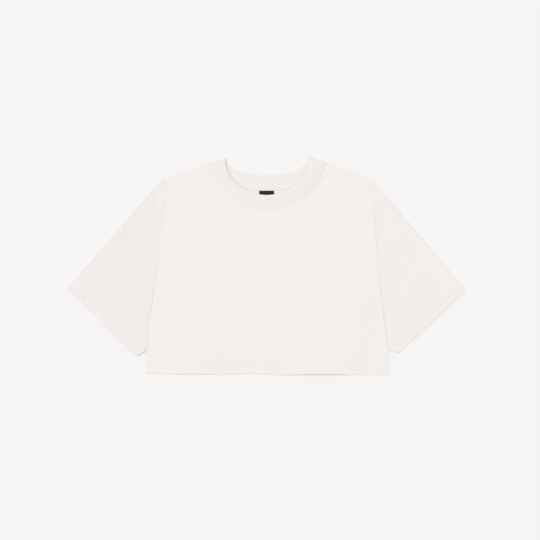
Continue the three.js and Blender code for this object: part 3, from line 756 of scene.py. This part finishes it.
def band_stops(columns_each):
    """Stops round the neckband: its arc's drop and fullness, t, turn (0 on the front and 1 on the back), the rib's
    crest from 0 to 1, and the distance along the band."""
    count = RIB_COUNT * columns_each
    arcs = []
    for arc in (FRONT_ARC, BACK_ARC):
        t = np.linspace(0, 1, 400)
        line = arc.point(t, np.full_like(t, 0.5))
        run = np.r_[0, np.cumsum(np.linalg.norm(np.diff(line, axis=0), axis=1))]
        arcs.append((t, run))
    (front_t, front_run), (back_t, back_run) = arcs
    fold = math.pi * FOLD_RADIUS
    ends = np.cumsum([front_run[-1], fold, back_run[-1], fold])
    along = np.arange(count) / count * ends[-1]
    stretch = np.searchsorted(ends, along, side="right")
    within = along - np.r_[0, ends[:-1]][stretch]
    t = np.choose(stretch, [
        np.interp(within, front_run, front_t),
        np.ones(count),
        1 - np.interp(within, back_run, back_t),
        np.zeros(count),
    ])
    turn = np.choose(stretch, [0 * within, within / fold, 0 * within + 1, 1 - within / fold])
    on_back = stretch == 2
    arc = Arc(np.where(on_back, BACK_DROP, FRONT_DROP)[:, None], np.where(on_back, BACK_FULLNESS, FRONT_FULLNESS)[:, None])
    crest = 0.5 + 0.5 * np.cos(2 * math.pi * np.arange(count) / columns_each)
    return arc, t[:, None], turn[:, None], crest[:, None] ** 0.8, along[:, None]


BAND_BACK_CROWN = 0.00025
BAND_SEAM_DIP = 0.0003
# From the left neck point (0) to the right one (1), how high the front layer rolls up beside its opening edge,
# and how high its middle stands
BAND_STAND = Table(
    "t lift crown",
    (0, 0.0022, 0.0004),
    (0.05, 0.0046, 0.0002),
    (0.12, 0.0048, 0),
    (0.19, 0.0026, 0.0001),
    (0.28, 0.0012, 0.0003),
    (0.4, 0.0003, 0.0005),
    (0.6, 0, 0.0005),
    (0.8, 0.0012, 0.0014),
    (0.92, 0.0020, 0.0020),
    (1, 0.0008, 0.0008),
)
STAND_CREST = 0.13


def band_faces(columns_each):
    """Points of the neckband: one closed loop of points round the wall at each stop."""
    arc, t, turn, crest, along = band_stops(columns_each)
    half = RIB_WALL / 2
    nose = np.radians(np.linspace(90, -90, 9))
    share = np.r_[0.045, 0.07, 0.095, 0.12, 0.15, np.linspace(0.19, 0.88, 8), 0.93, 0.965, 0.98, 0.988, 0.995, 1]
    reach_share = np.r_[share[::-1], np.zeros(len(nose)), share]
    reach_past = np.r_[0 * share, half * (1 - np.cos(nose)), 0 * share]
    face = np.r_[np.ones(len(share)), np.sin(nose), -np.ones(len(share))]
    body = np.sin(np.pi * np.clip(reach_share, 0, 1))
    seam = smooth((reach_share - 0.88) / 0.12)
    rib = (0.35 + 0.65 * smooth(reach_share / 0.06 + 0.3)) * (1 - 0.7 * seam)
    from_seam = np.clip((1 - reach_share) / 0.012, 0, 1)
    round_edge = 0.8 + 0.2 * np.sqrt(1 - (1 - from_seam) ** 2)
    crown = BAND_STAND.read("crown", t) * (1 - smooth(2 * turn)) * body
    outward = half + crown - BAND_SEAM_DIP * seam
    outward = outward + RIB_RISE * rib * mix(crest, crest - 1, turn)
    inward = half - crown - BAND_SEAM_DIP * seam + turn * (RIB_RISE * rib * crest + BAND_BACK_CROWN * body)
    offset = np.where(face > 0, outward, inward) * face * round_edge
    side = np.where(t < 0.5, -1.0, 1.0)
    square = point(side * NECK_SLOPE, np.ones_like(side)) / math.hypot(1, NECK_SLOPE)
    angle = np.pi * (0.5 - turn)
    direction, width = arc.across(t)
    reach = width * reach_share + reach_past
    plan = arc.edge(t) + direction * reach[..., None]
    plan = plan + square * ((FOLD_RADIUS + offset) * np.cos(angle))[..., None]
    roll = smooth(reach_share / STAND_CREST) * (1 - smooth((reach_share - STAND_CREST) / (1 - STAND_CREST)))
    stand = BAND_STAND.read("lift", t) * (1 - turn) * roll
    height = half + FOLD_RADIUS + (FOLD_RADIUS + offset) * np.sin(angle) + stand
    flat = point(along + 0 * reach, np.where(face > 0, reach, -reach))
    return np.dstack([plan, height]), flat


# Meshes


def quads(first, second, wrap):
    """Faces between neighbouring rows of vertex numbers."""
    if wrap:
        return np.stack([first, second, np.roll(second, -1), np.roll(first, -1)], axis=-1)
    return np.stack([first[:-1], second[:-1], second[1:], first[1:]], axis=-1)


def grid_quads(numbers, wrap=False):
    """Faces over a grid of vertex numbers. With wrap, its last row joins its first one."""
    if wrap:
        numbers = np.vstack([numbers, numbers[:1]])
    a, b = numbers[:-1, :-1], numbers[1:, :-1]
    c, d = numbers[1:, 1:], numbers[:-1, 1:]
    return np.stack([a, b, c, d], axis=-1).reshape(-1, 4)


def outward(vertices, faces):
    """The same faces, turned to look out of the body that they close."""
    a, b, c, d = (vertices[faces[:, i]] for i in range(4))
    volume = (np.einsum("ij,ij->i", a, np.cross(b, c)) + np.einsum("ij,ij->i", a, np.cross(c, d))).sum()
    return faces[:, ::-1] if volume < 0 else faces


def make_mesh(name, vertices, faces, flat, material):
    """A smooth mesh in the frame. flat gives each vertex its place on the flat cloth, in metres."""
    vertices = vertices - np.array([0, ORIGIN_HEIGHT, 0])
    mesh = bpy.data.meshes.new(name)
    mesh.from_pydata(vertices.tolist(), [], outward(vertices, faces).tolist())
    mesh.shade_smooth()
    loops = np.empty(len(mesh.loops), np.int32)
    mesh.loops.foreach_get("vertex_index", loops)
    cloth = mesh.uv_layers.new(name=CLOTH_MAP)
    cloth.data.foreach_set("uv", flat[loops].astype(np.float32).ravel())
    mesh.materials.append(material)
    piece = bpy.data.objects.new(name, mesh)
    bpy.context.scene.collection.objects.link(piece)
    return piece


CLOTH_MAP = "cloth"


def wall_mesh(name, outer, inner, flat, material, wrap=False):
    """One closed wall between two grids of points. With wrap, the grids close round a tube."""
    columns, rows = outer.shape[:2]
    top = np.arange(columns * rows).reshape(columns, rows)
    under = top + columns * rows
    faces = [grid_quads(top, wrap), grid_quads(under, wrap)[:, ::-1]]
    faces.append(quads(under[:, 0], top[:, 0], wrap)[:, ::-1])
    faces.append(quads(under[:, -1], top[:, -1], wrap))
    if not wrap:
        faces.append(quads(under[0], top[0], False))
        faces.append(quads(under[-1], top[-1], False)[:, ::-1])
    vertices = np.vstack([outer.reshape(-1, 3), inner.reshape(-1, 3)])
    return make_mesh(name, vertices, np.vstack(faces), np.vstack([flat.reshape(-1, 2)] * 2), material)


# Materials


def add_node(tree, kind, inputs=None, **settings):
    node = tree.nodes.new(kind)
    for name, value in settings.items():
        setattr(node, name, value)
    for name, value in (inputs or {}).items():
        if isinstance(value, bpy.types.NodeSocket):
            tree.links.new(value, node.inputs[name])
        else:
            node.inputs[name].default_value = value
    return node


def calculate(tree, operation, *values):
    """A Math node's result."""
    return add_node(tree, "ShaderNodeMath", dict(enumerate(values)), operation=operation).outputs[0]


def blend_colours(tree, factor, a, b):
    node = add_node(tree, "ShaderNodeMix", data_type="RGBA")
    for index, value in ((0, factor), (6, a), (7, b)):
        if isinstance(value, bpy.types.NodeSocket):
            tree.links.new(value, node.inputs[index])
        else:
            node.inputs[index].default_value = value
    return node.outputs[2]


def shaded(colour, share):
    return (*(channel * share for channel in colour), 1.0)


def new_material(name, roughness, sheen, sheen_roughness, specular=0.25):
    material = bpy.data.materials.new(name)
    material.use_nodes = True
    shader = material.node_tree.nodes["Principled BSDF"]
    shader.inputs["Roughness"].default_value = roughness
    shader.inputs["Sheen Weight"].default_value = sheen
    shader.inputs["Sheen Roughness"].default_value = sheen_roughness
    shader.inputs["Specular IOR Level"].default_value = specular
    return material, material.node_tree, shader


def cloth_coordinates(tree):
    """Across and along on the flat cloth, in metres."""
    cloth = add_node(tree, "ShaderNodeUVMap", uv_map=CLOTH_MAP)
    parts = add_node(tree, "ShaderNodeSeparateXYZ", {"Vector": cloth.outputs["UV"]})
    return cloth.outputs["UV"], parts.outputs["X"], parts.outputs["Y"]


def knit_material(name, colour, wale, course, depth, roughness=0.93, sheen=0.12):
    """Plain knit: columns of small V-shaped loops, with uneven yarn and a soft nap. Its colour carries painted shade in
    the hollows between the loops and a faint painted highlight on their tops.
    """
    material, tree, shader = new_material(name, roughness, sheen, 0.55)
    cloth, across, along = cloth_coordinates(tree)
    slant = calculate(tree, "PINGPONG", across, wale / 2)
    phase = calculate(tree, "MULTIPLY_ADD", along, 2 * math.pi / course, calculate(tree, "MULTIPLY", slant, 5.0 / wale))
    loop = calculate(tree, "MULTIPLY_ADD", calculate(tree, "SINE", phase), 0.5, 0.5)
    column = calculate(tree, "ABSOLUTE", calculate(tree, "SINE", calculate(tree, "MULTIPLY", across, math.pi / wale)))
    yarn = add_node(tree, "ShaderNodeTexNoise", {"Vector": cloth, "Scale": 1400.0, "Detail": 3.0})
    knit = calculate(tree, "MULTIPLY", column, calculate(tree, "MULTIPLY_ADD", loop, 0.6, 0.4))
    height = calculate(tree, "MULTIPLY_ADD", yarn.outputs["Fac"], 0.5, knit)
    slub = add_node(tree, "ShaderNodeTexNoise", {"Vector": cloth, "Scale": 160.0, "Detail": 2.0})
    height = calculate(tree, "MULTIPLY_ADD", slub.outputs["Fac"], 0.9, height)
    bump = add_node(tree, "ShaderNodeBump", {"Height": height, "Distance": depth, "Strength": 0.8})
    tree.links.new(bump.outputs["Normal"], shader.inputs["Normal"])
    # Painted shade and highlight: the colour is darker in the hollows between the loops and slightly lighter on their
    # tops.
    painted_loop_shading = blend_colours(tree, knit, shaded(colour, 0.95), shaded(colour, 1.012))
    mottle = add_node(tree, "ShaderNodeTexNoise", {"Vector": cloth, "Scale": 22.0, "Detail": 4.0, "Roughness": 0.6})
    final = blend_colours(tree, mottle.outputs["Fac"], shaded(colour, 0.985), painted_loop_shading)
    tree.links.new(final, shader.inputs["Base Color"])
    return material


def tape_material(name, colour):
    """Woven tape: a fine twill with a slight lustre."""
    material, tree, shader = new_material(name, 0.62, 0.1, 0.4, specular=0.12)
    cloth, across, along = cloth_coordinates(tree)
    warp = calculate(tree, "SINE", calculate(tree, "MULTIPLY", calculate(tree, "ADD", across, along), 9000.0))
    weft = calculate(tree, "SINE", calculate(tree, "MULTIPLY", along, 16000.0))
    height = calculate(tree, "MULTIPLY_ADD", weft, 0.4, warp)
    bump = add_node(tree, "ShaderNodeBump", {"Height": height, "Distance": 0.00004, "Strength": 0.7})
    tree.links.new(bump.outputs["Normal"], shader.inputs["Normal"])
    lint = add_node(tree, "ShaderNodeTexNoise", {"Vector": cloth, "Scale": 900.0, "Detail": 2.0})
    tree.links.new(blend_colours(tree, lint.outputs["Fac"], shaded(colour, 0.7), shaded(colour, 1.4)),
                   shader.inputs["Base Color"])
    return material


def thread_material(name, colour):
    """Spun sewing thread: two plies twisted together, with painted shade in the grooves between them."""
    material, tree, shader = new_material(name, 0.6, 0.25, 0.4)
    cloth, across, along = cloth_coordinates(tree)
    twist = calculate(tree, "SINE", calculate(tree, "MULTIPLY", calculate(tree, "ADD", across, along), 8000.0))
    bump = add_node(tree, "ShaderNodeBump", {"Height": twist, "Distance": 0.00005, "Strength": 0.6})
    tree.links.new(bump.outputs["Normal"], shader.inputs["Normal"])
    # Painted shade: the thread is darker in the grooves between its plies.
    tree.links.new(blend_colours(tree, calculate(tree, "MULTIPLY_ADD", twist, 0.5, 0.5), shaded(colour, 0.9),
                                 shaded(colour, 1.0)), shader.inputs["Base Color"])
    return material


def floor_material(name, colour):
    """Plain matt paper sweep."""
    material, tree, shader = new_material(name, 0.95, 0.0, 0.5)
    grain = add_node(tree, "ShaderNodeTexNoise", {"Scale": 60.0, "Detail": 3.0})
    tree.links.new(blend_colours(tree, grain.outputs["Fac"], shaded(colour, 0.998), shaded(colour, 1.0)),
                   shader.inputs["Base Color"])
    return material


# Stitches


def stitch_shape():
    """One short stitch along +X, a unit long: its points, its faces, and its places on the thread."""
    sides = 6
    stops = np.array([-0.47, -0.36, 0.0, 0.36, 0.47])
    girth = np.array([0.62, 0.95, 1.0, 0.95, 0.62])
    sink = np.array([-0.75, -0.2, 0.12, -0.2, -0.75])
    angle = np.arange(sides) / sides * 2 * math.pi
    rings = np.array([
        [(stop, thick * math.cos(a), thick * math.sin(a) + low) for a in angle]
        for stop, thick, low in zip(stops, girth, sink)
    ])
    ends = np.array([(-0.5, 0, -1.05), (0.5, 0, -1.05)])
    numbers = np.arange(len(stops) * sides).reshape(len(stops), sides)
    faces = grid_quads(np.hstack([numbers, numbers[:, :1]])).tolist()
    first, last = len(stops) * sides, len(stops) * sides + 1
    for k in range(sides):
        faces.append([first, numbers[0, (k + 1) % sides], numbers[0, k]])
        faces.append([last, numbers[-1, k], numbers[-1, (k + 1) % sides]])
    return np.vstack([rings.reshape(-1, 3), ends]), faces


def stitch_mesh(name, rows, cloth_piece, material):
    """Stitches along rows of places in plan, laid on the face of a piece. Each row says which way its face looks."""
    tree = BVHTree.FromObject(cloth_piece, bpy.context.evaluated_depsgraph_get())
    shape, shape_faces = stitch_shape()
    vertices, faces, flat = [], [], []
    for line, facing in rows:
        line = line - np.array([0, ORIGIN_HEIGHT])
        run = np.r_[0, np.cumsum(np.linalg.norm(np.diff(line, axis=0), axis=1))]
        for along in np.arange(STITCH_PITCH / 2, run[-1], STITCH_PITCH):
            ends = []
            for at in (along - STITCH_LENGTH / 2, along + STITCH_LENGTH / 2):
                x, y = (np.interp(at, run, line[:, i]) for i in (0, 1))
                hit = tree.ray_cast(Vector((x, y, 0.05 * facing)), Vector((0, 0, -facing)))[0]
                ends.append(hit)
            if None in ends:
                continue
            x_axis = (ends[1] - ends[0]).normalized()
            y_axis = Vector((0, 0, facing)).cross(x_axis).normalized()
            z_axis = x_axis.cross(y_axis)
            middle = (ends[0] + ends[1]) / 2 + z_axis * THREAD_RADIUS * 0.35
            axes = np.array([x_axis * STITCH_LENGTH, y_axis * THREAD_RADIUS, z_axis * THREAD_RADIUS])
            base = len(vertices) * len(shape)
            placed = shape @ axes + np.array(middle)
            vertices.append(placed)
            flat.append(np.column_stack([along + shape[:, 0] * STITCH_LENGTH, shape[:, 1] * THREAD_RADIUS]))
            faces.extend([[base + i for i in face] for face in shape_faces])
    mesh = bpy.data.meshes.new(name)
    mesh.from_pydata(np.vstack(vertices).tolist(), [], faces)
    mesh.shade_smooth()
    loops = np.empty(len(mesh.loops), np.int32)
    mesh.loops.foreach_get("vertex_index", loops)
    cloth = mesh.uv_layers.new(name=CLOTH_MAP)
    cloth.data.foreach_set("uv", np.vstack(flat)[loops].astype(np.float32).ravel())
    mesh.materials.append(material)
    piece = bpy.data.objects.new(name, mesh)
    bpy.context.scene.collection.objects.link(piece)
    return piece


def hem_rows(layer, facing):
    """The two stitched rows of a body panel's hem."""
    x = np.linspace(-SIDES["left"][0] + 0.002, SIDES["right"][0] - 0.002, 200)
    return [(point(x, HEM_EDGES.read(layer, x) + row), facing) for row in STITCH_ROWS]


def cuff_rows(key):
    """The stitched rows of a sleeve's hem, on its upper and its lower layer."""
    patch = SleevePatch(key)
    q = np.linspace(0.012, 0.985, 160)
    rows = []
    for level, facing in ((1.0, 1), (0.0, -1)):
        for row in STITCH_ROWS:
            rows.append((patch.spot(1.0, row, q, level)[1], facing))
    return rows


def place_piece(piece, slot, *nodes):
    """Puts a piece on the garment's one body, with the solids that it stands for."""
    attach(piece, "root")
    if nodes:
        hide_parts(*nodes)
    return piece


# Settings


class CropTopClothSettings(bpy.types.PropertyGroup):
    """Finish of the cloth."""

    jersey: FloatVectorProperty(name="Jersey", description="Colour of the body's jersey", subtype="COLOR",
                                default=(0.784, 0.747, 0.727), min=0, max=1)
    # The left sleeve's colour is a little darker than the body's: painted shade for the shade that lies on that sleeve.
    left_jersey_painted_shade: FloatVectorProperty(name="Left sleeve", description="Colour of the left sleeve's jersey",
                                     subtype="COLOR", default=(0.778, 0.740, 0.720), min=0, max=1)
    right_jersey: FloatVectorProperty(name="Right sleeve", description="Colour of the right sleeve's jersey",
                                      subtype="COLOR", default=(0.785, 0.747, 0.727), min=0, max=1)
    rib: FloatVectorProperty(name="Rib", description="Colour of the neckband's rib", subtype="COLOR",
                             default=(0.776, 0.739, 0.718), min=0, max=1)
    # The thread's colour is a little lighter than the jersey's: painted light that offsets the shade in the stitched
    # rows.
    thread: FloatVectorProperty(name="Thread", description="Colour of the sewing thread", subtype="COLOR",
                                default=(0.800, 0.762, 0.742), min=0, max=1)
    label: FloatVectorProperty(name="Label", description="Colour of the woven neck label", subtype="COLOR",
                               default=(0.0187, 0.0141, 0.0114), min=0, max=1)
    wale: FloatProperty(name="Wale", description="Width of one column of loops", unit="LENGTH", default=0.0009,
                        min=0.0003, max=0.004)
    course: FloatProperty(name="Course", description="Height of one row of loops", unit="LENGTH", default=0.0007,
                          min=0.0003, max=0.004)
    knit_depth: FloatProperty(name="Knit depth", description="Depth of the knit's relief", unit="LENGTH",
                              default=0.00012, min=0, max=0.001)
    step: FloatProperty(name="Mesh step", description="Distance between the rows of a panel's mesh", unit="LENGTH",
                        default=0.0026, min=0.001, max=0.02)
    sleeve_step: FloatProperty(name="Sleeve step", description="Distance between the rows of a sleeve's mesh",
                               unit="LENGTH", default=0.0021, min=0.001, max=0.02)
    rib_columns: IntProperty(name="Columns a rib", description="Columns of the mesh for each rib", default=6, min=4,
                             max=12)


class CropTopStageSettings(bpy.types.PropertyGroup):
    """Floor, lights and camera."""

    floor: FloatVectorProperty(name="Floor", description="Colour of the floor", subtype="COLOR",
                               default=(0.765, 0.765, 0.765), min=0, max=1)
    ambient: FloatProperty(name="Ambient", description="Strength of the even light from all round", default=0.49, min=0)
    key: FloatProperty(name="Key light", description="Strength of the soft light from the upper left", default=2.22,
                       min=0)
    fill: FloatProperty(name="Fill light", description="Strength of the softer light from the right", default=0.05,
                        min=0)
    softness: FloatProperty(name="Softness", description="How broad the key light looks from the cloth",
                            subtype="ANGLE", default=math.radians(24), min=0, max=math.pi)
    distance: FloatProperty(name="Camera height", description="Height of the camera above the floor", unit="LENGTH",
                            default=2.553, min=0.5)
    lens: FloatProperty(name="Lens", description="Focal length of the camera", unit="CAMERA", default=85.0, min=20)


# Operators


class CROPTOP_OT_back_panel(bpy.types.Operator):
    """Builds the back panel, which lies on the surface under the rest"""

    bl_idname = "croptop.back_panel"
    bl_label = "Back panel"

    def execute(self, context):
        cloth = context.scene.crop_top_cloth
        material = knit_material("back_jersey", cloth.jersey, cloth.wale, cloth.course, cloth.knit_depth)
        outer, inner, flat = back_faces(cloth.step)
        piece = wall_mesh("back", outer, inner, flat, material)
        place_piece(piece, "jersey", "back_panel")
        return {"FINISHED"}


class CROPTOP_OT_front_panel(bpy.types.Operator):
    """Builds the front panel, with its soft folds and creases"""

    bl_idname = "croptop.front_panel"
    bl_label = "Front panel"

    def execute(self, context):
        cloth = context.scene.crop_top_cloth
        material = knit_material("front_jersey", cloth.jersey, cloth.wale, cloth.course, cloth.knit_depth)
        outer, inner, flat = front_faces(cloth.step)
        piece = wall_mesh("front", outer, inner, flat, material)
        place_piece(piece, "jersey", "front_panel")
        return {"FINISHED"}


class CROPTOP_OT_sleeves(bpy.types.Operator):
    """Builds both sleeves as flattened tubes"""

    bl_idname = "croptop.sleeves"
    bl_label = "Sleeves"

    def execute(self, context):
        cloth = context.scene.crop_top_cloth
        # The left sleeve's colour holds painted shade.
        for key, colour in (("left", cloth.left_jersey_painted_shade), ("right", cloth.right_jersey)):
            material = knit_material(f"{key}_jersey", colour, cloth.wale, cloth.course, cloth.knit_depth)
            outer, inner, flat = sleeve_faces(key, cloth.sleeve_step)
            piece = wall_mesh(f"{key}_sleeve", outer, inner, flat, material, wrap=True)
            place_piece(piece, "jersey", f"sleeve_{key}")
        return {"FINISHED"}


class CROPTOP_OT_neckband(bpy.types.Operator):
    """Builds the rib neckband, one ring that is folded flat at the neck points"""

    bl_idname = "croptop.neckband"
    bl_label = "Neckband"

    def execute(self, context):
        cloth = context.scene.crop_top_cloth
        material = knit_material("neck_rib", cloth.rib, cloth.wale, cloth.course, cloth.knit_depth)
        points, flat = band_faces(cloth.rib_columns)
        numbers = np.arange(points.shape[0] * points.shape[1]).reshape(points.shape[:2])
        closed = np.hstack([numbers, numbers[:, :1]])
        piece = make_mesh("neck_rib_band", points.reshape(-1, 3), grid_quads(closed, wrap=True), flat.reshape(-1, 2),
                          material)
        place_piece(piece, "rib", "neckband")
        return {"FINISHED"}


class CROPTOP_OT_neck_label(bpy.types.Operator):
    """Builds the blank woven label inside the back neck"""

    bl_idname = "croptop.neck_label"
    bl_label = "Neck label"

    def execute(self, context):
        cloth = context.scene.crop_top_cloth
        width, length = label_high.x - label_low.x, label_high.y - label_low.y
        u = np.unique(np.r_[0, 0.01, 0.03, np.linspace(0.06, 0.94, 20), 0.97, 0.99, 1])[:, None]
        v = np.unique(np.r_[0, 0.015, 0.04, 0.08, np.linspace(0.14, 0.86, 8), 0.92, 0.96, 0.985, 1])[None, :]
        u, v = np.broadcast_arrays(u, v)
        place = point(label_low.x + u * width, label_low.y + v * length + ORIGIN_HEIGHT)
        wave = 0.00012 * np.sin(9 * u + 1) * (1 - v)
        selvedge = 0.00008 * (smooth((0.05 - np.minimum(u, 1 - u)) / 0.03))
        over = label_high.z - 0.0002 + wave + selvedge
        under = label_low.z + 0 * wave
        from_edge = np.minimum(np.minimum(u, 1 - u) * width, np.minimum(v, 1 - v) * length)
        outer, inner = rounded(np.dstack([place, over]), np.dstack([place, under]), from_edge, 0.0003)
        piece = wall_mesh("label", outer, inner, place, tape_material("black_tape", cloth.label))
        place_piece(piece, "label", "neck_label")
        return {"FINISHED"}


class CROPTOP_OT_stitching(bpy.types.Operator):
    """Builds the twin rows of stitching on the hem and both cuffs"""

    bl_idname = "croptop.stitching"
    bl_label = "Hem stitching"

    def execute(self, context):
        cloth = context.scene.crop_top_cloth
        thread = thread_material("sewing_thread", cloth.thread)
        jobs = (
            ("front_hem_stitches", hem_rows("front", 1), "front"),
            ("back_hem_stitches", hem_rows("back", -1), "back"),
            ("left_cuff_stitches", cuff_rows("left"), "left_sleeve"),
            ("right_cuff_stitches", cuff_rows("right"), "right_sleeve"),
        )
        for name, rows, carrier in jobs:
            place_piece(stitch_mesh(name, rows, bpy.data.objects[carrier], thread), "jersey")
        return {"FINISHED"}


class CROPTOP_OT_stage(bpy.types.Operator):
    """Builds the floor, the soft lights and the camera"""

    bl_idname = "croptop.stage"
    bl_label = "Stage"

    def execute(self, context):
        stage = context.scene.crop_top_stage
        half = 4.0
        corners = [(-half, -half, FLOOR_LEVEL), (half, -half, FLOOR_LEVEL), (half, half, FLOOR_LEVEL),
                   (-half, half, FLOOR_LEVEL)]
        mesh = bpy.data.meshes.new("floor")
        mesh.from_pydata(corners, [], [(0, 1, 2, 3)])
        mesh.materials.append(floor_material("paper_sweep", stage.floor))
        floor = bpy.data.objects.new("floor", mesh)
        context.scene.collection.objects.link(floor)

        world = bpy.data.worlds.new("even_light")
        world.use_nodes = True
        background = world.node_tree.nodes["Background"]
        background.inputs["Color"].default_value = (1, 1, 1, 1)
        background.inputs["Strength"].default_value = stage.ambient
        context.scene.world = world

        for name, strength, place, softness in (
            ("key_light", stage.key, (-0.36, 0.42, 2.85), stage.softness),
            ("fill_light", stage.fill, (1.2, -0.6, 1.8), 2 * stage.softness),
        ):
            light = bpy.data.lights.new(name, "SUN")
            light.energy = strength
            light.angle = softness
            lamp = bpy.data.objects.new(name, light)
            lamp.location = place
            lamp.rotation_euler = (-Vector(place)).to_track_quat("-Z", "Y").to_euler()
            context.scene.collection.objects.link(lamp)

        camera = bpy.data.cameras.new("camera")
        camera.lens = stage.lens
        camera.sensor_width = 36.0
        camera.clip_end = 20.0
        viewer = bpy.data.objects.new("camera", camera)
        viewer.location = (*VIEW_CENTRE, stage.distance)
        context.scene.collection.objects.link(viewer)
        context.scene.camera = viewer
        context.scene.view_settings.view_transform = "Standard"
        return {"FINISHED"}


# The floor lies just under the cloth, and the view is centred a little below and right of the garment's middle.
FLOOR_LEVEL = -0.0002
VIEW_CENTRE = (0.0057, -0.0064)


class CROPTOP_PT_pieces(bpy.types.Panel):
    """Lists the pieces and their settings."""

    bl_idname = "CROPTOP_PT_pieces"
    bl_label = "Crop top"
    bl_space_type = "VIEW_3D"
    bl_region_type = "UI"
    bl_category = "Crop top"

    def draw(self, context):
        layout = self.layout
        for operator in OPERATORS:
            layout.operator(operator.bl_idname)
        for group in (context.scene.crop_top_cloth, context.scene.crop_top_stage):
            box = layout.box()
            for name in group.__annotations__:
                box.prop(group, name)


OPERATORS = (
    CROPTOP_OT_stage,
    CROPTOP_OT_back_panel,
    CROPTOP_OT_front_panel,
    CROPTOP_OT_sleeves,
    CROPTOP_OT_neckband,
    CROPTOP_OT_neck_label,
    CROPTOP_OT_stitching,
)
CLASSES = (CropTopClothSettings, CropTopStageSettings, *OPERATORS, CROPTOP_PT_pieces)


def register():
    for kind in CLASSES:
        bpy.utils.register_class(kind)
    bpy.types.Scene.crop_top_cloth = PointerProperty(type=CropTopClothSettings)
    bpy.types.Scene.crop_top_stage = PointerProperty(type=CropTopStageSettings)


def unregister():
    del bpy.types.Scene.crop_top_stage
    del bpy.types.Scene.crop_top_cloth
    for kind in reversed(CLASSES):
        bpy.utils.unregister_class(kind)


def main():
    register()
    bpy.ops.croptop.stage()
    bpy.ops.croptop.back_panel()
    bpy.ops.croptop.front_panel()
    bpy.ops.croptop.sleeves()
    bpy.ops.croptop.neckband()
    bpy.ops.croptop.neck_label()
    bpy.ops.croptop.stitching()


if __name__ == "__main__":
    main()
